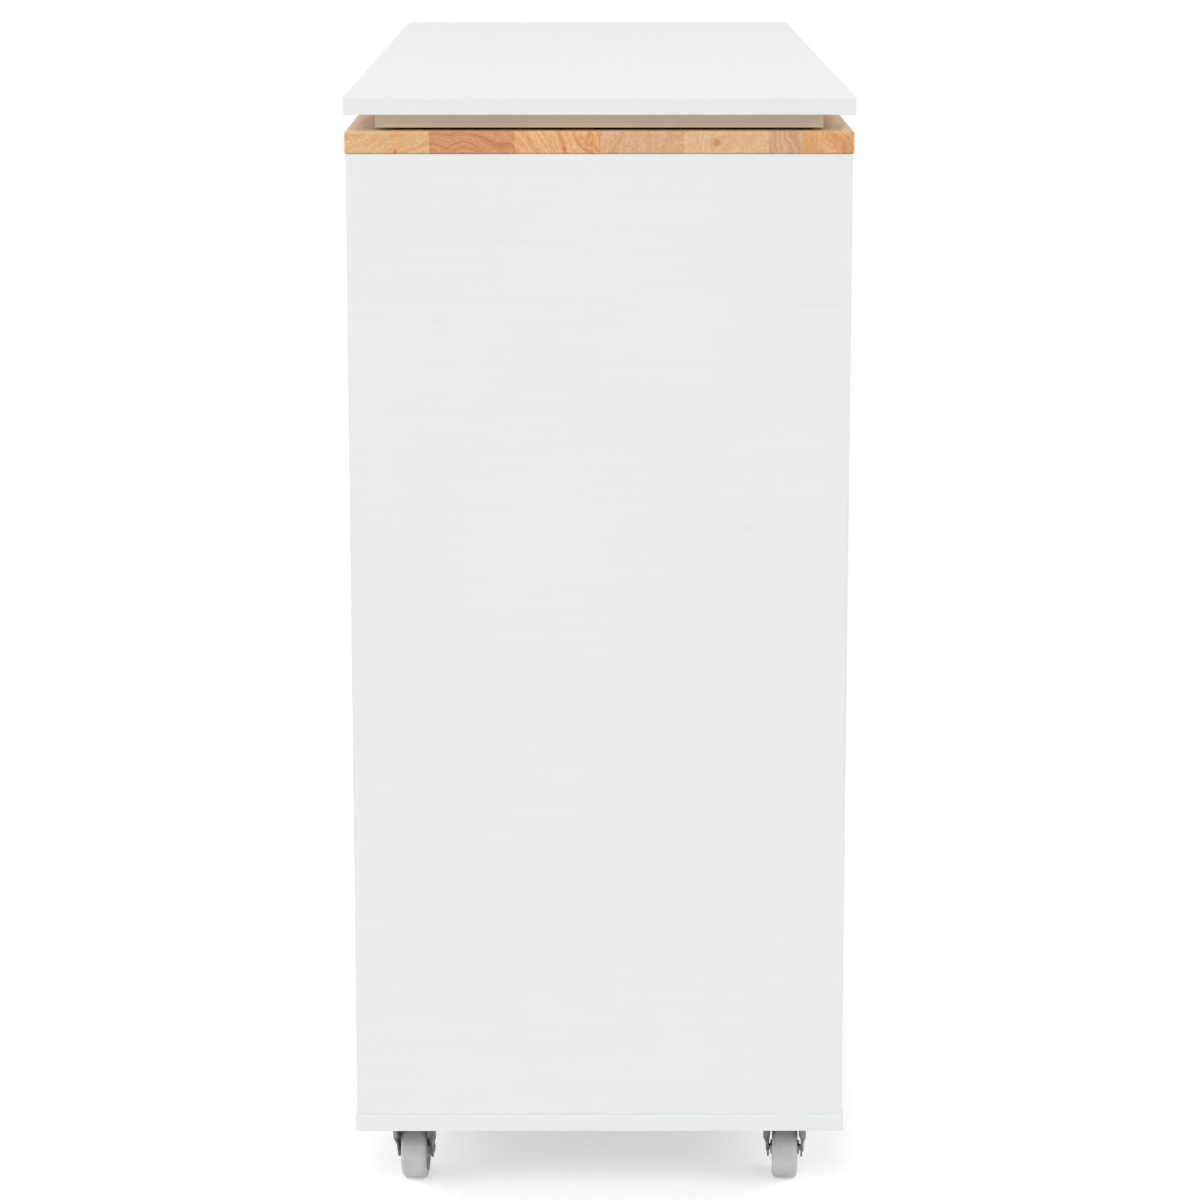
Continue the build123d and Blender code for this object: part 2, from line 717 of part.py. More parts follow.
# Pressed fork: a round head, and two legs that flatten from its curve down to the axle, trimmed to
# the fork's outline in side view
def fork_part(braked):
    sections = [
        curved_leg_section(head_bottom, 0, fork_leg_half_angle),
        curved_leg_section(fork_curve_height, caster_trail / 3, fork_leg_half_angle),
        flat_leg_section(fork_flat_height),
        flat_leg_section(axle_height - fork_leg_end_radius - fork_sheet),
    ]
    with BuildPart() as fork:
        loft([section.sketch for section in sections], ruled=True)
        with BuildSketch(Plane.XZ):
            with BuildLine():
                end_arc = CenterArc((caster_trail, axle_height), fork_leg_end_radius, 180, 180)
                head_front = (-fork_diameter / 2, head_top)
                head_rear = (fork_diameter / 2, head_top)
                Polyline(end_arc @ 0, head_front, head_rear, end_arc @ 1)
            make_face()
        extrude(amount=fork_diameter, both=True, mode=Mode.INTERSECT)
        with BuildSketch(Plane.XZ.offset(-leg_outer)):
            with Locations((caster_trail, axle_height)):
                Circle(axle_head_diameter / 2 + axle_seat_margin)
        extrude(amount=-fork_diameter, mode=Mode.SUBTRACT)
        mirror(about=Plane.XZ)
        with BuildSketch(Plane.XY.offset(head_bottom)):
            Circle(fork_diameter / 2)
        extrude(amount=fork_head_thickness)
        if braked:
            for side in (-1, 1):
                with BuildSketch(Plane.XZ.offset(-side * ear_inner_y)):
                    with BuildLine():
                        Polyline(
                            (ear_inner_y, head_top),
                            (brake_pivot_trail, brake_pivot_height + brake_ear_radius),
                            (brake_pivot_trail, brake_pivot_height - brake_ear_radius),
                            (ear_inner_y, brake_pivot_height - 2 * brake_ear_radius),
                            close=True,
                        )
                    make_face()
                    with Locations((brake_pivot_trail, brake_pivot_height)):
                        Circle(brake_ear_radius)
                extrude(amount=-side * fork_sheet)
            with BuildSketch(Plane.XZ.offset(-ear_outer)):
                with Locations((brake_pivot_trail, brake_pivot_height)):
                    Circle(brake_pivot_diameter / 2)
            extrude(amount=2 * ear_outer, mode=Mode.SUBTRACT)
        with BuildSketch(Plane.XY.offset(head_top)):
            Circle(kingpin_diameter / 2 + running_clearance)
        extrude(amount=-fork_head_thickness, mode=Mode.SUBTRACT)
        with BuildSketch(Plane.XZ.offset(-fork_diameter / 2)):
            with Locations((caster_trail, axle_height)):
                Circle(axle_diameter / 2)
        extrude(amount=fork_diameter, mode=Mode.SUBTRACT)
    return fork


# Axle with a head outside each leg, and a washer between each leg and the wheel
axle_plane = Plane(origin=(caster_trail, 0, axle_height), x_dir=(0, 1, 0), z_dir=(1, 0, 0))
axle_axis = Axis((caster_trail, 0, axle_height), (0, 1, 0))
washer_inner = wheel_width / 2 + washer_gap
with BuildPart() as axle:
    with BuildSketch(axle_plane):
        with Locations((0, axle_diameter / 4)):
            Rectangle(2 * (leg_outer + axle_head_height), axle_diameter / 2)
        for side in (-1, 1):
            with Locations((side * (leg_outer + axle_head_height / 2), axle_head_diameter / 4)):
                Rectangle(axle_head_height, axle_head_diameter / 2)
    revolve(axis=axle_axis)
    chamfer(axle.faces().sort_by(Axis.Y)[0].edges(), axle_head_height / 2)
    chamfer(axle.faces().sort_by(Axis.Y)[-1].edges(), axle_head_height / 2)
with BuildPart() as washers:
    with BuildSketch(axle_plane):
        for side in (-1, 1):
            with Locations((side * (washer_inner + washer_thickness / 2), 0)):
                with Locations((0, (washer_diameter + axle_diameter) / 4)):
                    Rectangle(washer_thickness, (washer_diameter - axle_diameter) / 2)
    revolve(axis=axle_axis)

# Rivet that the brake lever turns on, with a head outside each ear
with BuildPart() as brake_rivet:
    with BuildSketch(Plane.XZ.offset(-ear_outer)):
        with Locations((brake_pivot_trail, brake_pivot_height)):
            Circle(brake_pivot_diameter / 2)
    extrude(amount=2 * ear_outer)
    for side in (-1, 1):
        with BuildSketch(Plane.XZ.offset(-side * ear_outer)):
            with Locations((brake_pivot_trail, brake_pivot_height)):
                Circle(brake_rivet_head_diameter / 2)
        extrude(amount=-side * brake_rivet_head_height, taper=30)

# Moulded wheel with rounded shoulders, dished sides and a hub
with BuildPart() as wheel:
    half = wheel_width / 2
    bore = axle_diameter / 2 + running_clearance
    hub = hub_diameter / 2
    rim_inner = wheel_diameter / 2 - wheel_rim
    outline = [
        (-half, bore),
        (-half, hub),
        (wheel_recess - half, hub),
        (wheel_recess - half, rim_inner),
        (-half, rim_inner),
        (-half, wheel_diameter / 2),
        (half, wheel_diameter / 2),
        (half, rim_inner),
        (half - wheel_recess, rim_inner),
        (half - wheel_recess, hub),
        (half, hub),
        (half, bore),
    ]
    with BuildSketch(axle_plane) as wheel_profile:
        with BuildLine():
            Polyline(outline, close=True)
        make_face()
        fillet(wheel_profile.vertices().group_by(Axis.Y)[-1], wheel_shoulder)
    revolve(axis=axle_axis)

# Brake lever: a pressed pedal that turns on the fork's rear rivet and bears on the tread when trodden
lever_half_width = ear_inner_y - brake_lever_clearance
with BuildPart() as brake_lever:
    pivot_x = brake_pivot_trail
    pivot_z = brake_pivot_height
    nose_z = pivot_z - brake_nose_drop
    tread_x = caster_trail + math.sqrt((wheel_diameter / 2) ** 2 - (nose_z - axle_height) ** 2)
    nose_x = tread_x + brake_nose_gap
    with BuildSketch(Plane.XZ.offset(-lever_half_width)):
        with Locations((pivot_x, pivot_z)):
            Circle(brake_lever_boss)
        with BuildLine():
            Polyline(
                (nose_x, nose_z),
                (nose_x + brake_lever_sheet, nose_z),
                (pivot_x + brake_lever_boss, pivot_z),
                (brake_pedal_reach, pivot_z + brake_pedal_rise - brake_lever_sheet),
                (brake_pedal_reach, pivot_z + brake_pedal_rise),
                (pivot_x, pivot_z + brake_lever_boss),
                (nose_x, pivot_z),
                close=True,
            )
        make_face()
        with Locations((pivot_x, pivot_z)):
            Circle(brake_pivot_diameter / 2 + running_clearance, mode=Mode.SUBTRACT)
    extrude(amount=2 * lever_half_width)

# Where the four casters stand, and whether each has a brake
casters = {
    "caster_near_front": (end_x - caster_inset_end, front_y + caster_inset_side, False),
    "caster_near_back": (end_x - caster_inset_end, back_y - caster_inset_side, False),
    "caster_far_front": (caster_inset_end - end_x, front_y + caster_inset_side, True),
    "caster_far_back": (caster_inset_end - end_x, back_y - caster_inset_side, True),
}
caster_spots = [Location((x, y, 0), (0, 0, 180 - caster_yaw)) for x, y, _ in casters.values()]
square_spots = [Location((x, y, 0)) for x, y, _ in casters.values()]

with BuildPart() as caster_plates:
    with Locations(square_spots):
        add(plate.part)
caster_plates.part.label = "caster_plates"
export_step(caster_plates.part, "parts/caster_plates.step")

with BuildPart() as caster_kingpins:
    with Locations(square_spots):
        add(kingpin.part)
caster_kingpins.part.label = "caster_kingpins"
export_step(caster_kingpins.part, "parts/caster_kingpins.step")

forks = {False: fork_part(False), True: fork_part(True)}
for (name, (_, _, braked)), spot in zip(casters.items(), caster_spots):
    with BuildPart() as placed_fork:
        with Locations(spot):
            add(forks[braked].part)
    placed_fork.part.label = f"{name}_fork"
    export_step(placed_fork.part, f"parts/{name}_fork.step")

    pins = [*axle.part.solids(), *washers.part.solids()]
    if braked:
        pins += brake_rivet.part.solids()
    placed_pins = Compound(label=f"{name}_pins", children=[spot * solid for solid in pins])
    export_step(placed_pins, f"parts/{name}_pins.step")

    with BuildPart() as placed_wheel:
        with Locations(spot):
            add(wheel.part)
    placed_wheel.part.label = f"{name}_wheel"
    export_step(placed_wheel.part, f"parts/{name}_wheel.step")

    if braked:
        with BuildPart() as placed_lever:
            with Locations(spot):
                add(brake_lever.part)
        placed_lever.part.label = f"{name}_brake_lever"
        export_step(placed_lever.part, f"parts/{name}_brake_lever.step")
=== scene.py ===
import math

import bpy
import numpy as np
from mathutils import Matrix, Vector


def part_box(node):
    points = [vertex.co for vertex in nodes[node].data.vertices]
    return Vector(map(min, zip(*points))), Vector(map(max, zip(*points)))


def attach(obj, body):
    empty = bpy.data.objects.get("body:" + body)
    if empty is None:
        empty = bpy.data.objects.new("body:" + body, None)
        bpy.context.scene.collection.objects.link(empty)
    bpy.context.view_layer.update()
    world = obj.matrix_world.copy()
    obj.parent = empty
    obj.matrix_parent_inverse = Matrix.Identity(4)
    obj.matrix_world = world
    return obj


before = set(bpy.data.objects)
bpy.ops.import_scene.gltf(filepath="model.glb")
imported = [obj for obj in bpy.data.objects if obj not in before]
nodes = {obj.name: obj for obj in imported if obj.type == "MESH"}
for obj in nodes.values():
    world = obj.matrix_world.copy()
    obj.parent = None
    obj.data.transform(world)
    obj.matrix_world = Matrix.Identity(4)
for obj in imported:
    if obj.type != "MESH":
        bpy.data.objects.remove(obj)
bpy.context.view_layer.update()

# The camera stands off the near end of the island, a little higher than the upper board, and looks
# down along its length through a long lens. Its frame is shifted down a little, so that it tilts
# less and upright edges stay nearly upright.
camera_place = (3.5206, 0.0044, 1.1303)
degrees_down = 10.52
degrees_aside = 0.099
camera_lens = bpy.data.cameras.new("camera")
camera_lens.sensor_width = 36.0
camera_lens.lens = 113.08
camera_lens.shift_y = -0.07
camera = bpy.data.objects.new("camera", camera_lens)
camera.location = camera_place
camera.rotation_euler = (math.radians(90 - degrees_down), 0.0, math.radians(90 - degrees_aside))
bpy.context.scene.collection.objects.link(camera)
bpy.context.scene.camera = camera
bpy.context.scene.view_settings.view_transform = "Standard"

# The floor is one plain pale sheet. Around the island it keeps the soft shadow, and further off it
# is plain white to the eye and in reflections. To the rest of the room it is a pale matt floor.
floor_reach = 60.0
floor_seen = (0.80, 0.80, 0.80, 1.0)
floor_bounce = (0.94, 0.94, 0.94, 1.0)
floor_glow = 0.40
fade_start = 0.75
fade_end = 1.6


def node_in(tree, kind, inputs=(), **settings):
    """Adds a shader node; inputs pairs each socket's name or number with its value or its source."""
    node = tree.nodes.new(kind)
    for setting, value in settings.items():
        setattr(node, setting, value)
    for socket, value in dict(inputs).items():
        if isinstance(value, bpy.types.NodeSocket):
            tree.links.new(value, node.inputs[socket])
        else:
            node.inputs[socket].default_value = value
    return node


def math_in(tree, operation, *values):
    """Adds a Math node and gives its result."""
    return node_in(tree, "ShaderNodeMath", enumerate(values), operation=operation).outputs[0]


def length_in(tree, vector):
    """Gives the length of a vector."""
    return node_in(tree, "ShaderNodeVectorMath", {0: vector}, operation="LENGTH").outputs["Value"]


def stretch(tree, value, low, high, new_low=0.0, new_high=1.0):
    """Carries the range low to high over to new_low to new_high, and holds it there."""
    inputs = {0: value, 1: low, 2: high, 3: new_low, 4: new_high}
    return node_in(tree, "ShaderNodeMapRange", inputs, clamp=True).outputs[0]


def blend_in(tree, share, first, second, blend="MIX"):
    """Mixes two colours: the first alone where the share is 0, and the second fully where it is 1."""
    inputs = {0: share, 6: first, 7: second}
    return node_in(tree, "ShaderNodeMix", inputs, data_type="RGBA", blend_type=blend).outputs[2]


def finish_tree(name):
    """A new material with an empty tree, and the object's own coordinates in metres."""
    material = bpy.data.materials.new(name)
    material.use_nodes = True
    tree = material.node_tree
    tree.nodes.clear()
    return material, tree, node_in(tree, "ShaderNodeTexCoord").outputs["Object"]


def seen_directly(tree):
    """1 for a ray from the camera, off metal or through glass, and 0 for light between surfaces."""
    path = node_in(tree, "ShaderNodeLightPath")
    seen = math_in(tree, "MAXIMUM", path.outputs["Is Camera Ray"], path.outputs["Is Glossy Ray"])
    return math_in(tree, "MAXIMUM", seen, path.outputs["Is Transmission Ray"])


def white_floor():
    """Matt paint with a glow for direct looks. From fade_start to fade_end, in metres from the
    middle of the floor, it turns to even white."""
    paint, tree, place = finish_tree("floor_paint")
    seen = seen_directly(tree)
    colour = blend_in(tree, seen, floor_bounce, floor_seen)
    matt = node_in(tree, "ShaderNodeBsdfDiffuse", {"Color": colour}).outputs[0]
    glow_level = math_in(tree, "MULTIPLY", seen, floor_glow)
    glow = node_in(tree, "ShaderNodeEmission", {"Strength": glow_level}).outputs[0]
    near = node_in(tree, "ShaderNodeAddShader", {0: matt, 1: glow}).outputs[0]
    white = node_in(tree, "ShaderNodeEmission", {"Strength": 1.0}).outputs[0]
    faded = stretch(tree, length_in(tree, place), fade_start, fade_end)
    far = math_in(tree, "MULTIPLY", seen, faded)
    floor = node_in(tree, "ShaderNodeMixShader", {0: far, 1: near, 2: white}).outputs[0]
    node_in(tree, "ShaderNodeOutputMaterial", {"Surface": floor})
    return paint


floor_mesh = bpy.data.meshes.new("floor")
floor_corners = np.array([(-1, -1, 0), (1, -1, 0), (1, 1, 0), (-1, 1, 0)]) * floor_reach
floor_mesh.from_pydata(floor_corners.tolist(), [], [(0, 1, 2, 3)])
floor_mesh.materials.append(white_floor())
floor = bpy.data.objects.new("floor", floor_mesh)
bpy.context.scene.collection.objects.link(floor)

# Studio light: a pale room that glows most along the island's long sides, least at its ends and in
# between overhead. The main softbox hangs high in front of the near end, and a weaker one lights
# each long side. Only the main one shows in gloss, so that no tabletop glares.
side_level = 0.80
end_level = 0.36
ceiling_level = 0.43
side_start = 0.35
side_end = 0.85
wall_top = 0.45
ceiling_start = 0.80
softboxes = {
    "above_camera": {
        "place": (6.8, -1.0, 5.7),
        "aim": (0.5, 0.0, 0.3),
        "size": 3.6,
        "power": 250.0,
        "glints": True,
    },
    "drawer_side": {
        "place": (0.2, -3.6, 2.8),
        "aim": (0.1, 0.0, 0.8),
        "size": 1.8,
        "power": 52.0,
        "glints": False,
    },
    "back_side": {
        "place": (0.2, 3.6, 2.8),
        "aim": (0.1, 0.0, 0.8),
        "size": 1.8,
        "power": 52.0,
        "glints": False,
    },
}


def pale_room():
    """Walls whose level follows how far a direction turns to a long side, and a ceiling over them.
    What is seen directly is plain white."""
    world = bpy.data.worlds.new("room")
    world.use_nodes = True
    tree = world.node_tree
    tree.nodes.clear()
    way = node_in(tree, "ShaderNodeTexCoord").outputs["Generated"]
    _, across, up = node_in(tree, "ShaderNodeSeparateXYZ", {0: way}).outputs[:]
    sideways = math_in(tree, "ABSOLUTE", across)
    walls = stretch(tree, sideways, side_start, side_end, end_level, side_level)
    room = stretch(tree, up, wall_top, ceiling_start, walls, ceiling_level)
    level = math_in(tree, "MAXIMUM", room, seen_directly(tree))
    light = node_in(tree, "ShaderNodeBackground", {"Color": (1, 1, 1, 1), "Strength": level})
    node_in(tree, "ShaderNodeOutputWorld", {"Surface": light.outputs[0]})
    return world


def softbox(name, place, aim, size, power, glints):
    """Hangs a square lamp at a place, facing the point of its aim. With glints, it shows in gloss."""
    lamp = bpy.data.lights.new(name, "AREA")
    lamp.shape = "SQUARE"
    lamp.size = size
    lamp.energy = power
    box = bpy.data.objects.new(name, lamp)
    box.location = place
    box.visible_glossy = glints
    away = np.array(place) - np.array(aim)
    tilt = math.atan2(math.hypot(away[0], away[1]), away[2])
    box.rotation_euler = (tilt, 0.0, math.atan2(away[0], -away[1]))
    bpy.context.scene.collection.objects.link(box)


bpy.context.scene.world = pale_room()
for name, setting in softboxes.items():
    softbox(name, **setting)

# Casters: pressed steel plates, forks and brake levers in a dark blue-grey zinc plate, on kingpins
# and axle pins in a lighter one. Each plate is held by four cross-head screws driven up into the
# base board.
zinc_dark = (0.105, 0.12, 0.13, 1.0)
zinc_light = (0.20, 0.215, 0.225, 1.0)
pin_dark = (0.22, 0.23, 0.24, 1.0)
pin_light = (0.36, 0.37, 0.38, 1.0)
plating_clouds = 130.0
plating_lines = (900, 900, 5200)
plating_pits = 2600.0
plating_depth = 0.00002
caster_names = [f"caster_{end}_{side}" for end in ("near", "far") for side in ("front", "back")]
plate_size = 0.052
plate_thickness = 0.002
plate_screw_inset = 0.007
caster_screw = {"radius": 0.0042, "height": 0.0021}
# A screw head's dome and cross, as shares of its radius or height
dome_fall = 0.55
cross_half_width = 0.14
cross_wall = 0.05
cross_reach = 0.6
cross_depth = 0.55
# Points round a turned form, and the angle from which an edge shows as a sharp one
turned_steps = 48
crease_degrees = 40.0
# What the node group of a finish puts out
skin_outputs = {"Shade": "Float", "Roughness": "Float", "Height": "Float"}


def new_group(name, inputs, outputs):
    """Makes a shader node group, and gives its tree, what comes in and a call that puts values out.
    Inputs and outputs pair a socket's name with its kind."""
    group = bpy.data.node_groups.new(name, "ShaderNodeTree")
    for socket, kind in inputs.items():
        group.interface.new_socket(socket, in_out="INPUT", socket_type=f"NodeSocket{kind}")
    for socket, kind in outputs.items():
        group.interface.new_socket(socket, in_out="OUTPUT", socket_type=f"NodeSocket{kind}")
    given = node_in(group, "NodeGroupInput").outputs
    wanted = node_in(group, "NodeGroupOutput").inputs

    def put_out(**values):
        for socket, value in values.items():
            group.links.new(value, wanted[socket])

    return group, given, put_out


def group_in(tree, group, **inputs):
    """Places a node group and gives its outputs."""
    return node_in(tree, "ShaderNodeGroup", inputs, node_tree=group).outputs


def vector_in(tree, operation, *values):
    """Adds a Vector Math node and gives its vector."""
    return node_in(tree, "ShaderNodeVectorMath", enumerate(values), operation=operation).outputs[0]


def noise_in(tree, vector, scale, detail=2.0, roughness=0.5):
    """A noise value from 0 to 1 that varies over the vector."""
    inputs = {"Vector": vector, "Scale": scale, "Detail": detail, "Roughness": roughness}
    return node_in(tree, "ShaderNodeTexNoise", inputs).outputs[0]


def bump_in(tree, height, depth):
    """A normal bent by a height from 0 to 1 that stands for this depth in metres."""
    return node_in(tree, "ShaderNodeBump", {"Distance": depth, "Height": height}).outputs[0]


def show(tree, **inputs):
    """Ends a tree in a Principled shader. Underlines in the names stand for spaces."""
    named = {key.replace("_", " "): value for key, value in inputs.items()}
    surface = node_in(tree, "ShaderNodeBsdfPrincipled", named)
    node_in(tree, "ShaderNodeOutputMaterial", {"Surface": surface.outputs[0]})


def show_skin(tree, skin, first, second, depth, **inputs):
    """Ends a tree in a skin of two tones, whose height stands for this depth in metres."""
    show(
        tree,
        Base_Color=blend_in(tree, skin["Shade"], first, second),
        Roughness=skin["Roughness"],
        Normal=bump_in(tree, skin["Height"], depth),
        **inputs,
    )


def plated_steel_group():
    """Zinc plate on pressed steel: soft cloudy tone, fine rubbed lines and small pits."""
    tree, given, put_out = new_group("plated_steel", {"Vector": "Vector"}, skin_outputs)
    clouds = noise_in(tree, given["Vector"], plating_clouds, detail=3.0)
    rubbed = noise_in(tree, vector_in(tree, "MULTIPLY", given["Vector"], plating_lines), 1.0)
    pits = noise_in(tree, given["Vector"], plating_pits, detail=1.0)
    even = math_in(tree, "MULTIPLY", math_in(tree, "ADD", clouds, rubbed), 0.5)
    put_out(
        Shade=stretch(tree, clouds, 0.3, 0.7),
        Roughness=stretch(tree, even, 0.35, 0.65, new_low=0.3, new_high=0.48),
        Height=math_in(tree, "MULTIPLY_ADD", rubbed, 0.6, math_in(tree, "MULTIPLY", pits, 0.4)),
    )
    return tree


plated_steel = plated_steel_group()


def steel(name, dark, light):
    """Plated steel between a dark and a light tone."""
    material, tree, place = finish_tree(name)
    skin = group_in(tree, plated_steel, Vector=place)
    show_skin(tree, skin, dark, light, plating_depth, Metallic=1.0)
    return material


def dress(material, *names):
    """Puts a material on CAD nodes, in every material slot of their objects."""
    for name in names:
        for slot in nodes[name].material_slots:
            slot.material = material


def facing(direction):
    """Three unit vectors as rows, square to one another, the last one along the direction."""
    along = np.array(direction, float) / np.linalg.norm(direction)
    across = np.cross((1.0, 0.0, 0.0) if abs(along[0]) < 0.9 else (0.0, 1.0, 0.0), along)
    across /= np.linalg.norm(across)
    return np.stack([across, np.cross(along, across), along])


def mount(name, points, faces, material, body, slot):
    """Makes a piece of mesh from its points and faces, and mounts it on a body."""
    mesh = bpy.data.meshes.new(name)
    mesh.from_pydata(points.tolist(), [], faces)
    mesh.polygons.foreach_set("use_smooth", np.ones(len(faces), bool))
    mesh.set_sharp_from_angle(angle=math.radians(crease_degrees))
    mesh.materials.append(material)
    piece = bpy.data.objects.new(name, mesh)
    bpy.context.scene.collection.objects.link(piece)
    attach(piece, body)


def closed_faces(rings, around, first=0):
    """Faces of a closed form whose points, from number first on, are a pole, rings - 2 rings and a
    second pole. A face of its wall joins two points of a ring with the same two of the next one."""
    ring, step = np.meshgrid(np.arange(rings - 3), np.arange(around), indexing="ij")
    here, beside = ring * around + step + 1, ring * around + (step + 1) % around + 1
    walls = np.stack([here, here + around, beside + around, beside], axis=-1).reshape(-1, 4)
    last, step = (rings - 2) * around + 1, np.arange(around)
    after = (step + 1) % around
    top = np.stack([np.zeros(around, int), step + 1, after + 1], axis=-1)
    foot = np.stack([last - around + after, last - around + step, np.full(around, last)], axis=-1)
    return [*(walls + first).tolist(), *(top + first).tolist(), *(foot + first).tolist()]


def turned(spots, direction, radii, heights, carved=None):
    """A closed turned form at each spot. Its profile of radii and heights starts and ends on the
    axis, at the top and at the foot, and is swept once round the direction: a point at angle t is
    (r cos t, r sin t, h). Where carved is given, carved(x, y) is taken off the upper points."""
    angle = np.linspace(0.0, 2 * np.pi, turned_steps, endpoint=False)
    r, h = np.array(radii, float)[:, None], np.array(heights, float)[:, None]
    x, y, z = r * np.cos(angle), r * np.sin(angle), np.repeat(h, turned_steps, axis=1)
    if carved is not None:
        upper = np.arange(len(radii))[:, None] <= np.argmax(r)
        z = z - carved(x, y) * upper
    rings = np.stack([x, y, z], axis=-1)
    form = np.concatenate([rings[0, :1], rings[1:-1].reshape(-1, 3), rings[-1, :1]])
    points = (np.array(spots, float)[:, None] + (form @ facing(direction))[None]).reshape(-1, 3)
    starts = range(0, len(points), len(form))
    return points, [face for start in starts for face in closed_faces(len(radii), turned_steps, start)]


def pan_heads(spots, direction, radius, height):
    """Cross-head screws. At share s of the radius the dome stands height * sqrt(1 - fall s s) high.
    The cross is sunk along both axes, with sloping walls out to its half width, and its depth
    shrinks by the sixth power of the distance, to nothing at its reach."""
    shares = np.array([0, 0.06, 0.12, 0.18, 0.24, 0.3, 0.37, 0.44, 0.51, 0.58, 0.66, 0.78, 0.9, 0.97, 1])
    domed = height * np.sqrt(1.0 - dome_fall * shares**2)

    def cross(x, y):
        beside = np.minimum(np.abs(x), np.abs(y)) / radius
        outward = np.hypot(x, y) / (cross_reach * radius)
        walls = np.clip((cross_half_width - beside) / cross_wall, 0.0, 1.0)
        return cross_depth * height * walls * np.clip(1.0 - outward**6, 0.0, 1.0)

    radii = [*(radius * shares), radius, 0.0]
    return turned(spots, direction, radii, [*domed, 0.0, 0.0], carved=cross)


def fasten(name, spots, direction, screw, body):
    """Drives screws of one size into a body at the spots, with their heads facing the direction."""
    heads = pan_heads(spots, direction, **screw)
    mount(name, *heads, pin_steel, body, "pin_steel")


caster_zinc = steel("caster_zinc", zinc_dark, zinc_light)
dress(caster_zinc, "caster_plates", *[f"{name}_fork" for name in caster_names])
dress(caster_zinc, *[f"{name}_brake_lever" for name in caster_names if "far" in name])
pin_steel = steel("pin_steel", pin_dark, pin_light)
dress(pin_steel, "caster_kingpins", *[f"{name}_pins" for name in caster_names])

plate_low, plate_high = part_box("caster_plates")
plate_screws = [
    (x, y, plate_high.z - plate_thickness)
    for x_edge in (plate_low.x, plate_high.x - plate_size)
    for y_edge in (plate_low.y, plate_high.y - plate_size)
    for x in (x_edge + plate_screw_inset, x_edge + plate_size - plate_screw_inset)
    for y in (y_edge + plate_screw_inset, y_edge + plate_size - plate_screw_inset)
]
fasten("caster_screws", plate_screws, (0, 0, -1), caster_screw, "cabinet")

# Wheels: light grey plastic from a two-part mould, satin all over, with faint flow marks that are a
# little duller. They run loose on the axle pins.
wheel_fresh = (0.62, 0.635, 0.62, 1.0)
wheel_rubbed = (0.55, 0.555, 0.535, 1.0)
mould_flow = 60.0
mould_skin = 1800.0
mould_depth = 0.00003


def moulded_plastic_group():
    """Moulded plastic: a fine even skin with faint flow marks."""
    tree, given, put_out = new_group("moulded_plastic", {"Vector": "Vector"}, skin_outputs)
    flow = noise_in(tree, given["Vector"], mould_flow)
    skin = noise_in(tree, given["Vector"], mould_skin)
    put_out(
        Shade=stretch(tree, flow, 0.3, 0.7),
        Roughness=stretch(tree, skin, 0.3, 0.7, new_low=0.42, new_high=0.55),
        Height=skin,
    )
    return tree


moulded_plastic = moulded_plastic_group()


def plastic(name, fresh, rubbed):
    """Moulded plastic between two close tones."""
    material, tree, place = finish_tree(name)
    skin = group_in(tree, moulded_plastic, Vector=place)
    show_skin(tree, skin, fresh, rubbed, mould_depth)
    return material


wheel_plastic = plastic("wheel_plastic", wheel_fresh, wheel_rubbed)
dress(wheel_plastic, *[f"{name}_wheel" for name in caster_names])

# Carcass: particle board with a white coating whose fine pressed grain catches the light, and thin
# white bands ironed on round its edges. The grain lies level on every board: along Y on the end
# panels, the partition and the drawer boxes, and along X on all the others.
board_white = (0.850, 0.862, 0.858, 1.0)
board_shade = (0.822, 0.836, 0.834, 1.0)
board_seam = (0.50, 0.51, 0.51, 1.0)
band_thickness = 0.001
band_share = 0.5
seam_share = 0.35
seam_groove = 1.5
scale_along_grain = 7.0
scale_across_grain = 330.0
grain_depth = 0.00003
well_clear = 9.0
# Two tiny soft marks in the coating of the near end: place, radius and share of shade
end_marks = (
    ((0.550, -0.118, 0.7374), 0.0042, 0.9),
    ((0.550, 0.128, 0.569), 0.0042, 0.7),
)


def pressed_grain_group():
    """Grain pressed into a coated board: long faint bands and short fine pores, from stretched noise."""
    inputs = {"Vector": "Vector", "Stretch": "Vector"}
    tree, given, put_out = new_group("pressed_grain", inputs, skin_outputs)
    long = vector_in(tree, "MULTIPLY", given["Vector"], given["Stretch"])
    bands = noise_in(tree, long, 1.0, detail=3.0, roughness=0.6)
    pores = stretch(tree, noise_in(tree, long, 4.3, detail=1.0), 0.52, 0.7)
    clouds = noise_in(tree, given["Vector"], 5.0)
    put_out(
        Shade=stretch(tree, math_in(tree, "ADD", bands, clouds), 0.7, 1.3),
        Roughness=stretch(tree, clouds, 0.3, 0.7, new_low=0.36, new_high=0.46),
        Height=math_in(tree, "SUBTRACT", bands, math_in(tree, "MULTIPLY", pores, 0.7)),
    )
    return tree


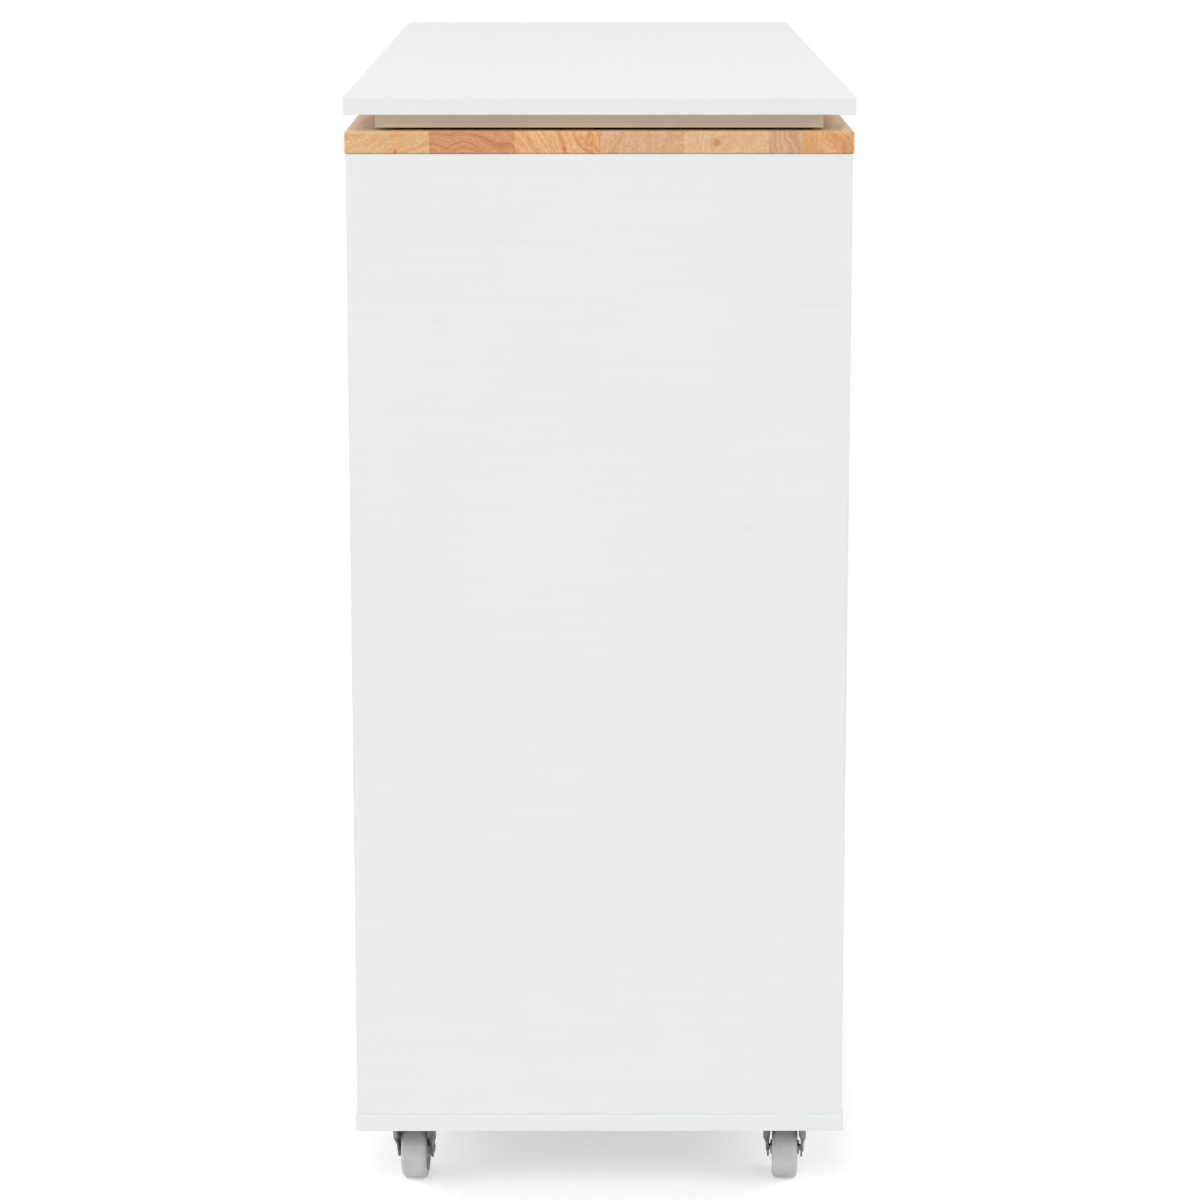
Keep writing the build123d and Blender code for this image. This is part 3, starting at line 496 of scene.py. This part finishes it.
def edge_band_group():
    """Distance from a point to the nearest of a board's narrow faces, from its lowest and highest
    corners. Band is 1 within the band's thickness, and Seam is 1 on its glue line."""
    inputs = {"Vector": "Vector", "Low": "Vector", "High": "Vector", "Thickness": "Float"}
    tree, given, put_out = new_group("edge_band", inputs, {"Band": "Float", "Seam": "Float"})
    from_low = vector_in(tree, "SUBTRACT", given["Vector"], given["Low"])
    from_high = vector_in(tree, "SUBTRACT", given["High"], given["Vector"])
    least = node_in(tree, "ShaderNodeSeparateXYZ", {0: vector_in(tree, "MINIMUM", from_low, from_high)})
    inward = math_in(tree, "MINIMUM", least.outputs[0], least.outputs[1])
    inward = math_in(tree, "MINIMUM", inward, least.outputs[2])
    beyond = math_in(tree, "SUBTRACT", inward, given["Thickness"])
    to_line = math_in(tree, "ABSOLUTE", beyond)
    put_out(
        Band=math_in(tree, "LESS_THAN", beyond, 0.0),
        Seam=stretch(tree, to_line, 0.00004, 0.00022, new_low=1.0, new_high=0.0),
    )
    return tree


pressed_grain = pressed_grain_group()
edge_band = edge_band_group()


def coated_board(name, white, shade, grain_axis, low, high, marks=()):
    """A coated board between two corners, with its grain along an axis (0 for X, 1 for Y). Its broad
    faces have no band, so across them the corners are put well clear of it. Marks are faint soft
    spots in the coating, each a place, a radius and a share of shade."""
    material, tree, place = finish_tree(name)
    scales = [scale_along_grain if axis == grain_axis else scale_across_grain for axis in range(3)]
    skin = group_in(tree, pressed_grain, Vector=place, Stretch=scales)
    size = [high[axis] - low[axis] for axis in range(3)]
    thin = size.index(min(size))
    far_low = [low[axis] - (well_clear if axis == thin else 0.0) for axis in range(3)]
    far_high = [high[axis] + (well_clear if axis == thin else 0.0) for axis in range(3)]
    band = group_in(tree, edge_band, Vector=place, Low=far_low, High=far_high, Thickness=band_thickness)
    shade_share = skin["Shade"]
    for spot, radius, share in marks:
        apart = node_in(tree, "ShaderNodeVectorMath", {0: place, 1: spot}, operation="DISTANCE")
        full, none = 0.35 * radius, 1.2 * radius
        soft = stretch(tree, apart.outputs["Value"], full, none, new_low=share, new_high=0.0)
        shade_share = math_in(tree, "SUBTRACT", shade_share, soft)
    coat = blend_in(tree, shade_share, shade, white)
    banded = blend_in(tree, math_in(tree, "MULTIPLY", band["Band"], band_share), coat, shade)
    seamed = blend_in(tree, math_in(tree, "MULTIPLY", band["Seam"], seam_share), banded, board_seam)
    groove = math_in(tree, "MULTIPLY", band["Seam"], seam_groove)
    show(
        tree,
        Base_Color=seamed,
        Roughness=skin["Roughness"],
        Normal=bump_in(tree, math_in(tree, "SUBTRACT", skin["Height"], groove), grain_depth),
    )
    return material


def coat(grain_axis, *names, marks=()):
    """Dresses white boards, each with its own edge bands."""
    for name in names:
        low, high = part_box(name)
        board = coated_board(f"{name}_white", board_white, board_shade, grain_axis, low, high, marks)
        dress(board, name)


coat(0, "base_board", "back_panel", "top_rails")
coat(1, "left_end_panel", "partition")
coat(1, "right_end_panel", marks=end_marks)

# Cam covers: thin white plastic discs pressed over the fittings that hold the carcass together, on
# the inner faces of the cupboard, high up and low down.
cover_radius = 0.0088
cover_height = 0.0011
cover_rim = 0.00066
cover_inset = 0.034
# The dish in the middle, as shares of the radius and of the height
dish_radii = np.array([0.0, 0.25, 0.5, 0.62])
dish_heights = np.array([0.8, 0.8, 0.84, 1.0])
nylon_fresh = (0.82, 0.82, 0.81, 1.0)
nylon_rubbed = (0.77, 0.77, 0.76, 1.0)
nylon = plastic("white_nylon", nylon_fresh, nylon_rubbed)


def cover_discs(spots, direction):
    """Low discs with a rim rounded by a quarter circle and a shallow dish in the middle."""
    turn = np.linspace(0.0, np.pi / 2, 6)
    rim_radii = cover_radius - cover_rim + cover_rim * np.sin(turn)
    rim_heights = cover_height - cover_rim + cover_rim * np.cos(turn)
    radii = [*(dish_radii * cover_radius), *rim_radii, cover_radius, 0.0]
    heights = [*(dish_heights * cover_height), *rim_heights, 0.0, 0.0]
    return turned(spots, direction, radii, heights)


wall_low, wall_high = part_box("partition")
end_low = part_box("right_end_panel")[0]
rails_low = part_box("top_rails")[0]
cover_places = [
    (y, z)
    for y in (wall_low.y + cover_inset, wall_high.y - cover_inset)
    for z in (wall_low.z + cover_inset, rails_low.z - cover_inset)
]
for name, face_x, way in (("partition", wall_high.x, 1), ("end_panel", end_low.x, -1)):
    discs = cover_discs([(face_x, y, z) for y, z in cover_places], (way, 0, 0))
    mount(f"{name}_cam_covers", *discs, nylon, "cabinet", "white_nylon")

# Worktop: rubberwood staves of uneven width, glued side by side. Each stave is finger-jointed from
# short lengths, so tone and growth rings change at every joint. It has a clear satin finish.
stave_joints = (-0.1245, -0.0581, 0.0092, 0.0750, 0.1430, 0.1692)
stave_count = len(stave_joints) + 1
length_of_piece = 0.37
finger_pitch = 0.007
finger_depth = 0.0045
length_step = 17.31
stave_step = 5.77
# The least value and the span of what is drawn by lot: the pith across from the stave's first edge,
# the pith's height over the floor, and the strength of the rings
pith_across = (-0.03, 0.13)
pith_height = (0.82, 0.12)
ring_strength = (0.25, 0.35)
pith_slant = 0.03
ring_scale = 230.0
ring_waver = 0.034
ring_tint = (0.77, 0.54, 0.38, 1.0)
blotch_tint = (0.97, 0.88, 0.76, 1.0)
fleck_tint = (0.87, 0.71, 0.54, 1.0)
# Painted shade: the tint of a dark line along the worktop's lower edge, where it meets the carcass
painted_shade_line_tint = (0.50, 0.40, 0.34, 1.0)
# Long-grain faces are lighter than the end grain: partly the wood's own look, partly painted light for the
# top where the board above shades it
pale_grain_and_painted_light_tone = (0.88, 0.74, 0.55, 1.0)
pale_grain_and_painted_light_share = 0.35
fibre_tint = (0.86, 0.76, 0.66, 1.0)
pore_tint = (0.58, 0.42, 0.30, 1.0)
pore_share = 0.4
glue_tint = (0.62, 0.46, 0.33, 1.0)
wood_depth = 0.00005


def tone(red, green, blue):
    """A paint chart colour, 0 to 255 for each part, as light."""
    part = np.array((red, green, blue)) / 255.0
    light = np.where(part < 0.04045, part / 12.92, ((part + 0.055) / 1.055) ** 2.4)
    return (*light.tolist(), 1.0)


# The near lengths, one for each stave: tone, the pith that its rings go round, and their strength
near_lengths = (
    {"tone": tone(234, 196, 148), "pith": (-0.230, 0.960), "rings": 0.42},
    {"tone": tone(219, 164, 123), "pith": (-0.104, 0.826), "rings": 0.85},
    {"tone": tone(241, 197, 142), "pith": (-0.078, 0.832), "rings": 0.85},
    {"tone": tone(226, 188, 151), "pith": (0.073, 0.866), "rings": 0.40},
    {"tone": tone(233, 198, 160), "pith": (0.175, 0.840), "rings": 0.38},
    {"tone": tone(223, 188, 156), "pith": (0.290, 0.880), "rings": 0.65},
    {"tone": tone(233, 186, 130), "pith": (0.120, 0.835), "rings": 0.65},
)
other_tones = (
    tone(238, 206, 160),
    tone(232, 194, 147),
    tone(224, 176, 134),
    tone(236, 190, 135),
    tone(229, 189, 150),
    tone(220, 168, 128),
)
# Marks on the near end: place across and up, how far they spread each way, strength and tint
near_marks = (
    ((0.1012, 0.8772), (0.0036, 0.0036), 0.75, (0.78, 0.52, 0.34, 1.0)),
    ((0.1012, 0.8772), (0.0075, 0.0065), 0.35, (0.90, 0.74, 0.58, 1.0)),
    ((-0.1490, 0.8790), (0.0070, 0.0140), 0.55, (1.0, 0.84, 0.60, 1.0)),
    ((-0.1515, 0.8700), (0.0016, 0.0030), 0.80, (0.72, 0.45, 0.25, 1.0)),
    ((-0.0180, 0.8732), (0.0018, 0.0018), 0.75, (0.72, 0.45, 0.28, 1.0)),
    ((0.0010, 0.8760), (0.0110, 0.0130), 0.60, (0.90, 0.76, 0.66, 1.0)),
    ((0.2060, 0.8720), (0.0060, 0.0160), 0.60, (0.88, 0.74, 0.66, 1.0)),
)


def ramp_in(tree, value, colours):
    """Steps through colours of even width as the value goes from 0 to 1."""
    node = node_in(tree, "ShaderNodeValToRGB", {"Fac": value})
    ramp = node.color_ramp
    ramp.interpolation = "CONSTANT"
    while len(ramp.elements) < len(colours):
        ramp.elements.new(1.0)
    for number, colour in enumerate(colours):
        ramp.elements[number].position = number / len(colours)
        ramp.elements[number].color = colour
    return node.outputs[0]


def choose_in(tree, share, first, second):
    """The first value where the share is 0, and the second where it is 1."""
    return node_in(tree, "ShaderNodeMix", {0: share, 2: first, 3: second}).outputs[0]


def draw_in(tree, number):
    """A colour and a value drawn by lot, always the same for the same number."""
    return node_in(tree, "ShaderNodeTexWhiteNoise", {"W": number}, noise_dimensions="1D").outputs


def line_noise_in(tree, value, scale, detail, roughness=0.5):
    """A noise value from 0 to 1 that varies along a line."""
    inputs = {"W": value, "Scale": scale, "Detail": detail, "Roughness": roughness}
    return node_in(tree, "ShaderNodeTexNoise", inputs, noise_dimensions="1D").outputs[0]


def staves_group(lowest_y, lowest_z, near_x):
    """Rubberwood. The place gives the number of a stave and of a length in it, and both give a tone
    and a slanting pith line. Rings are noise over the distance from the pith, and long fibres, short
    dark pores, blotches, glue lines and the marks of the near end are laid over them."""
    outputs = {"Color": "Color", "Roughness": "Float", "Height": "Float"}
    tree, given, put_out = new_group("staves", {"Vector": "Vector"}, outputs)
    place = given["Vector"]
    x, y, z = node_in(tree, "ShaderNodeSeparateXYZ", {0: place}).outputs[:]

    def drawn_out(scales, detail=2.0, roughness=0.5):
        """Noise with its own scale each way, lowest along the wood."""
        return noise_in(tree, vector_in(tree, "MULTIPLY", place, scales), 1.0, detail, roughness)

    def spread(value, least, span):
        """Carries 0 to 1 over to a range."""
        return math_in(tree, "MULTIPLY_ADD", value, span, least)

    def tinted(wood, share, tint):
        """The wood multiplied by a tint, as far as the share says."""
        return blend_in(tree, share, wood, tint, "MULTIPLY")

    # The stave: how many glue joints come before this point, where the last of them lies, and how
    # far off the nearest one is
    stave, start_y, to_glue = 0.0, lowest_y, 1.0
    for joint, before in zip(stave_joints, (lowest_y, *stave_joints)):
        past = math_in(tree, "GREATER_THAN", y, joint)
        stave = math_in(tree, "ADD", past, stave)
        start_y = math_in(tree, "MULTIPLY_ADD", past, joint - before, start_y)
        gap = math_in(tree, "ABSOLUTE", math_in(tree, "SUBTRACT", y, joint))
        to_glue = math_in(tree, "MINIMUM", gap, to_glue)

    # The length in it: its ends follow a zigzag of fingers, and lie elsewhere in each stave. Three
    # metres more keep every count above 0.
    offset = math_in(tree, "MULTIPLY_ADD", draw_in(tree, stave)[0], length_of_piece, 3.0)
    zigzag = math_in(tree, "PINGPONG", math_in(tree, "ADD", y, 1.0), finger_pitch / 2)
    fingers = math_in(tree, "MULTIPLY_ADD", zigzag, 2 * finger_depth / finger_pitch, x)
    along = math_in(tree, "DIVIDE", math_in(tree, "ADD", fingers, offset), length_of_piece)
    length = math_in(tree, "FLOOR", along)
    last = math_in(tree, "DIVIDE", math_in(tree, "ADD", offset, near_x), length_of_piece)
    before_last = math_in(tree, "SUBTRACT", math_in(tree, "FLOOR", last), 0.5)
    near = math_in(tree, "GREATER_THAN", length, before_last)
    to_finger = math_in(tree, "MULTIPLY", math_in(tree, "PINGPONG", along, 0.5), length_of_piece)

    # A number of its own for each length, and the tone, pith and strength of rings drawn for it
    of_stave = math_in(tree, "MULTIPLY", stave, stave_step)
    number = math_in(tree, "MULTIPLY_ADD", length, length_step, of_stave)
    draw = draw_in(tree, number)
    first, second, third = node_in(tree, "ShaderNodeSeparateColor", {0: draw["Color"]}).outputs[:]
    drawn_tone = ramp_in(tree, draw["Value"], other_tones)
    drawn_y = math_in(tree, "ADD", start_y, spread(first, *pith_across))
    drawn_z = spread(second, *pith_height)
    drawn_rings = spread(third, *ring_strength)

    # The near lengths have their own instead. A ramp holds nothing below 0, so it keeps their piths
    # half a metre to one side, and as much lower.
    share = math_in(tree, "DIVIDE", math_in(tree, "ADD", stave, 0.5), stave_count)
    near_tone = ramp_in(tree, share, [each["tone"] for each in near_lengths])
    kept = [(each["pith"][0] + 0.5, each["pith"][1] - 0.5, each["rings"], 1.0) for each in near_lengths]
    near_values = ramp_in(tree, share, kept)
    near_y, near_z, near_rings = node_in(tree, "ShaderNodeSeparateColor", {0: near_values}).outputs[:]
    wood = blend_in(tree, near, drawn_tone, near_tone)
    pith_y = choose_in(tree, near, drawn_y, math_in(tree, "SUBTRACT", near_y, 0.5))
    pith_z = choose_in(tree, near, drawn_z, math_in(tree, "ADD", near_z, 0.5))
    strength = choose_in(tree, near, drawn_rings, near_rings)

    # Growth rings, uneven and wavering round the pith, with a thin dark line of late wood in each
    slant = math_in(tree, "MULTIPLY", math_in(tree, "SUBTRACT", x, near_x), pith_slant)
    off_y = math_in(tree, "SUBTRACT", math_in(tree, "ADD", y, slant), pith_y)
    off_z = math_in(tree, "SUBTRACT", math_in(tree, "ADD", z, slant), pith_z)
    square = math_in(tree, "MULTIPLY_ADD", off_y, off_y, math_in(tree, "MULTIPLY", off_z, off_z))
    waver = drawn_out((4.0, 38.0, 38.0), detail=3.0, roughness=0.4)
    radius = math_in(tree, "MULTIPLY_ADD", waver, ring_waver, math_in(tree, "SQRT", square))
    ring_place = math_in(tree, "MULTIPLY_ADD", radius, ring_scale, number)
    rings = line_noise_in(tree, ring_place, 1.0, detail=3.0, roughness=0.6)
    from_line = math_in(tree, "ABSOLUTE", math_in(tree, "SUBTRACT", rings, 0.5))
    late_wood = stretch(tree, from_line, 0.0, 0.035, new_low=0.8, new_high=0.0)
    ring_share = math_in(tree, "MAXIMUM", stretch(tree, rings, 0.42, 0.68), late_wood)
    ring_share = math_in(tree, "MULTIPLY", ring_share, strength)

    # The finer figure, with stronger flecks on the end grain, and painted shade along the lower edge
    blotches = drawn_out((14.0, 90.0, 90.0), detail=4.0, roughness=0.6)
    blotches = stretch(tree, blotches, 0.4, 0.66, new_high=0.75)
    fibres = drawn_out((16.0, 1100.0, 1100.0))
    fibres = stretch(tree, fibres, 0.4, 0.75, new_high=0.45)
    pores = drawn_out((230.0, 2100.0, 2100.0), detail=1.0)
    pores = stretch(tree, pores, 0.60, 0.72)
    flecks = drawn_out((24.0, 480.0, 480.0), roughness=0.7)
    flecks = stretch(tree, flecks, 0.36, 0.66)
    end_grain = stretch(tree, math_in(tree, "ABSOLUTE", x), near_x - 0.0012, near_x - 0.0003)
    flecks = math_in(tree, "MULTIPLY", flecks, choose_in(tree, end_grain, 0.25, 0.75))
    # Painted shade in the crease under the rounded lower edge
    painted_shade_line = stretch(tree, z, lowest_z + 0.0002, lowest_z + 0.0014, new_low=0.8, new_high=0.0)
    long_grain = math_in(tree, "SUBTRACT", 1.0, end_grain)

    wood = tinted(wood, ring_share, ring_tint)
    wood = tinted(wood, blotches, blotch_tint)
    wood = tinted(wood, flecks, fleck_tint)
    wood = tinted(wood, painted_shade_line, painted_shade_line_tint)
    # Partly painted light: the long-grain faces are made lighter
    paler_and_painted_light = math_in(tree, "MULTIPLY", long_grain, pale_grain_and_painted_light_share)
    wood = blend_in(tree, paler_and_painted_light, wood, pale_grain_and_painted_light_tone)
    wood = tinted(wood, fibres, fibre_tint)
    wood = tinted(wood, math_in(tree, "MULTIPLY", pores, pore_share), pore_tint)
    for (mark_y, mark_z), (wide, high), most, tint in near_marks:
        away_y = math_in(tree, "DIVIDE", math_in(tree, "SUBTRACT", y, mark_y), wide)
        away_z = math_in(tree, "DIVIDE", math_in(tree, "SUBTRACT", z, mark_z), high)
        away = math_in(tree, "MULTIPLY_ADD", away_y, away_y, math_in(tree, "MULTIPLY", away_z, away_z))
        mark = stretch(tree, away, 0.25, 1.1, new_low=most, new_high=0.0)
        wood = tinted(wood, math_in(tree, "MULTIPLY", mark, near), tint)
    glue_line = stretch(tree, to_glue, 0.00005, 0.0004, new_low=0.5, new_high=0.0)
    finger_line = stretch(tree, to_finger, 0.00005, 0.0004, new_low=0.5, new_high=0.0)
    seam = math_in(tree, "MAXIMUM", glue_line, finger_line)
    put_out(
        Color=tinted(wood, seam, glue_tint),
        Roughness=stretch(tree, rings, 0.3, 0.7, new_low=0.34, new_high=0.44),
        Height=math_in(tree, "SUBTRACT", math_in(tree, "SUBTRACT", 1.0, pores), seam),
    )
    return tree


def satin_rubberwood():
    """The staves under a thin clear satin coat."""
    low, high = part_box("worktop")
    material, tree, place = finish_tree("rubberwood")
    wood = group_in(tree, staves_group(low.y, low.z, high.x), Vector=place)
    show(
        tree,
        Base_Color=wood["Color"],
        Roughness=wood["Roughness"],
        Coat_Weight=0.25,
        Coat_Roughness=0.22,
        Normal=bump_in(tree, wood["Height"], wood_depth),
    )
    return material


dress(satin_rubberwood(), "worktop")

# Swivel: a ball bearing of two pressed rings with a ball cage between, screwed to the worktop and
# to the board above. A cream painted apron hides it, and the board over it is coated like the rest.
apron_cream = (0.77, 0.665, 0.535, 1.0)
apron_shade = (0.72, 0.615, 0.485, 1.0)
bearing_dark = (0.50, 0.51, 0.52, 1.0)
bearing_light = (0.59, 0.60, 0.61, 1.0)
ring_flange = 0.002
ring_screw_inset = 0.007
ring_screw_count = 6
ring_screw = {"radius": 0.0040, "height": 0.0018}

bearing_steel = steel("bearing_steel", bearing_dark, bearing_light)
dress(bearing_steel, "swivel_lower_ring", "swivel_upper_ring", "swivel_ball_cage")
apron_low, apron_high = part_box("apron")
dress(coated_board("apron_paint", apron_cream, apron_shade, 0, apron_low, apron_high), "apron")
coat(0, "upper_board")

lower_ring_low, lower_ring_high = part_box("swivel_lower_ring")
upper_ring_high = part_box("swivel_upper_ring")[1]
ring_x = (lower_ring_low.x + lower_ring_high.x) / 2
ring_y = (lower_ring_low.y + lower_ring_high.y) / 2
ring_reach = (lower_ring_high.x - lower_ring_low.x) / 2 - ring_screw_inset
ring_turn = 2 * np.pi * np.arange(ring_screw_count) / ring_screw_count
ring_ways = np.stack([np.cos(ring_turn), np.sin(ring_turn), 0 * ring_turn], axis=-1)
ring_spots = np.array([ring_x, ring_y, 0.0]) + ring_reach * ring_ways
lower_spots = ring_spots + (0.0, 0.0, lower_ring_low.z + ring_flange)
upper_spots = ring_spots + (0.0, 0.0, upper_ring_high.z - ring_flange)
fasten("lower_ring_screws", lower_spots, (0, 0, 1), ring_screw, "cabinet")
fasten("upper_ring_screws", upper_spots, (0, 0, -1), ring_screw, "swivel_top")

# Cupboard: two inset doors on steel pivots in nylon bushes, a shelf on steel pins, and a magnetic
# catch with its steel poles, screwed up into the top rail, that holds both doors by their strikes.
pole_proud = 0.00015
pole_inset = 0.0018
pole_thickness = 0.0011
pole_offset = 0.0035
catch_screw = {"radius": 0.0032, "height": 0.0016}
catch_screw_spacing = 0.030

dress(nylon, "pivot_bushes", "magnetic_catch")
coat(0, "right_door", "left_door", "shelf")
dress(pin_steel, "shelf_pins")
for side in ("right", "left"):
    dress(pin_steel, f"{side}_door_pivots", f"{side}_door_strike")


def pole_plates(low, high, levels):
    """Thin steel strips across the front of the catch. Each is an oblong button turned about the
    way out of the catch and drawn out: a point at angle t is (a c, b s, h) for the cosine c and the
    sine s of t, each brought to the power 1/4, and its rim is eased as the height falls."""
    turn = np.linspace(0.0, 2 * np.pi, 64, endpoint=False)
    wide = np.sign(np.cos(turn)) * np.abs(np.cos(turn)) ** 0.25
    tall = np.sign(np.sin(turn)) * np.abs(np.sin(turn)) ** 0.25
    half = (high.x - low.x) / 2 - pole_inset
    middle_x = (low.x + high.x) / 2
    ease = np.array([0.0, 0.5, 0.98, 1.0, 1.0, 0.0])[:, None]
    out = np.array([1.0, 1.0, 1.0, 0.6, -1.0, -1.0])[:, None] * pole_proud
    points, faces = [], []
    for level in levels:
        x = middle_x + half * np.where(ease == 0, 0.0, 1 - (1 - ease) * pole_thickness / half) * wide
        y = low.y - out + 0 * turn
        z = level + ease * pole_thickness / 2 * tall
        rings = np.stack([x, y, z], axis=-1)
        faces += closed_faces(len(ease), len(turn), sum(len(strip) for strip in points))
        points.append(np.concatenate([rings[0, :1], rings[1:-1].reshape(-1, 3), rings[-1, :1]]))
    return np.concatenate(points), faces


catch_low, catch_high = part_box("magnetic_catch")
catch_x = (catch_low.x + catch_high.x) / 2
catch_y = (catch_low.y + catch_high.y) / 2
catch_z = (catch_low.z + catch_high.z) / 2
poles = pole_plates(catch_low, catch_high, (catch_z - pole_offset, catch_z + pole_offset))
mount("catch_poles", *poles, pin_steel, "cabinet", "pin_steel")
catch_spots = [(catch_x + way * catch_screw_spacing / 2, catch_y, catch_low.z) for way in (-1, 1)]
fasten("catch_screws", catch_spots, (0, 0, -1), catch_screw, "cabinet")

# Drawers: coated fronts and boxes with a thin hardboard bottom, on telescopic slides of zinc
# plated steel. Three pan-head screws in each inner member hold it to the side of the box.
hardboard_face = (0.80, 0.80, 0.785, 1.0)
hardboard_shade = (0.76, 0.76, 0.745, 1.0)
slide_dark = (0.49, 0.50, 0.51, 1.0)
slide_light = (0.57, 0.58, 0.59, 1.0)
slide_sheet = 0.0012
slide_screw = {"radius": 0.0037, "height": 0.0018}
slide_screw_shares = (0.09, 0.46, 0.88)
drawer_numbers = (1, 2, 3)

slide_steel = steel("slide_steel", slide_dark, slide_light)
dress(slide_steel, "slide_outer_members")
for number in drawer_numbers:
    drawer = f"drawer_{number}"
    coat(0, f"{drawer}_front")
    coat(1, f"{drawer}_box")
    low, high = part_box(f"{drawer}_bottom")
    hardboard = coated_board(f"{drawer}_hardboard", hardboard_face, hardboard_shade, 1, low, high)
    dress(hardboard, f"{drawer}_bottom")
    dress(slide_steel, f"{drawer}_slide_middle", f"{drawer}_slide_inner")
    slide_low, slide_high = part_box(f"{drawer}_slide_inner")
    screw_ys = [slide_low.y + share * (slide_high.y - slide_low.y) for share in slide_screw_shares]
    screw_z = (slide_low.z + slide_high.z) / 2
    box_low, box_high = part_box(f"{drawer}_box")
    for side, web_x, way in (("left", box_low.x - slide_sheet, -1), ("right", box_high.x + slide_sheet, 1)):
        spots = [(web_x, y, screw_z) for y in screw_ys]
        fasten(f"{drawer}_{side}_slide_screws", spots, (way, 0, 0), slide_screw, drawer)

# Knobs: turned and brushed nickel, with the fine rings that the lathe and the brush leave. A
# cross-head screw from behind the door or the drawer front holds each one.
nickel_dark = (0.36, 0.35, 0.33, 1.0)
nickel_light = (0.58, 0.57, 0.54, 1.0)
lathe_rings = 5200.0
nickel_clouds = 90.0
nickel_depth = 0.00002
knob_screw = {"radius": 0.0052, "height": 0.0019}
knob_bodies = {"right_door": "door_right", "left_door": "door_left"}
knob_bodies.update({f"drawer_{number}": f"drawer_{number}" for number in drawer_numbers})


def turned_metal_group():
    """Lathe and brush rings: fine noise over the distance from an axis that runs along Y."""
    inputs = {"Vector": "Vector", "Middle": "Vector"}
    tree, given, put_out = new_group("turned_metal", inputs, skin_outputs)
    apart = vector_in(tree, "SUBTRACT", given["Vector"], given["Middle"])
    flat = vector_in(tree, "MULTIPLY", apart, (1.0, 0.0, 1.0))
    rings = line_noise_in(tree, length_in(tree, flat), lathe_rings, detail=2.0)
    cloudy = noise_in(tree, given["Vector"], nickel_clouds)
    put_out(
        Shade=stretch(tree, math_in(tree, "ADD", rings, cloudy), 0.7, 1.3),
        Roughness=stretch(tree, rings, 0.35, 0.65, new_low=0.26, new_high=0.38),
        Height=rings,
    )
    return tree


turned_metal = turned_metal_group()
for holder, body in knob_bodies.items():
    low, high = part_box(f"{holder}_knob")
    middle_x = (low.x + high.x) / 2
    middle_z = (low.z + high.z) / 2
    material, tree, place = finish_tree(f"{holder}_knob_nickel")
    skin = group_in(tree, turned_metal, Vector=place, Middle=(middle_x, 0.0, middle_z))
    show_skin(tree, skin, nickel_dark, nickel_light, nickel_depth, Metallic=1.0)
    dress(material, f"{holder}_knob")
    board_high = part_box(holder if "door" in holder else f"{holder}_front")[1]
    behind = (middle_x, board_high.y, middle_z)
    fasten(f"{holder}_knob_screw", [behind], (0, 1, 0), knob_screw, body)
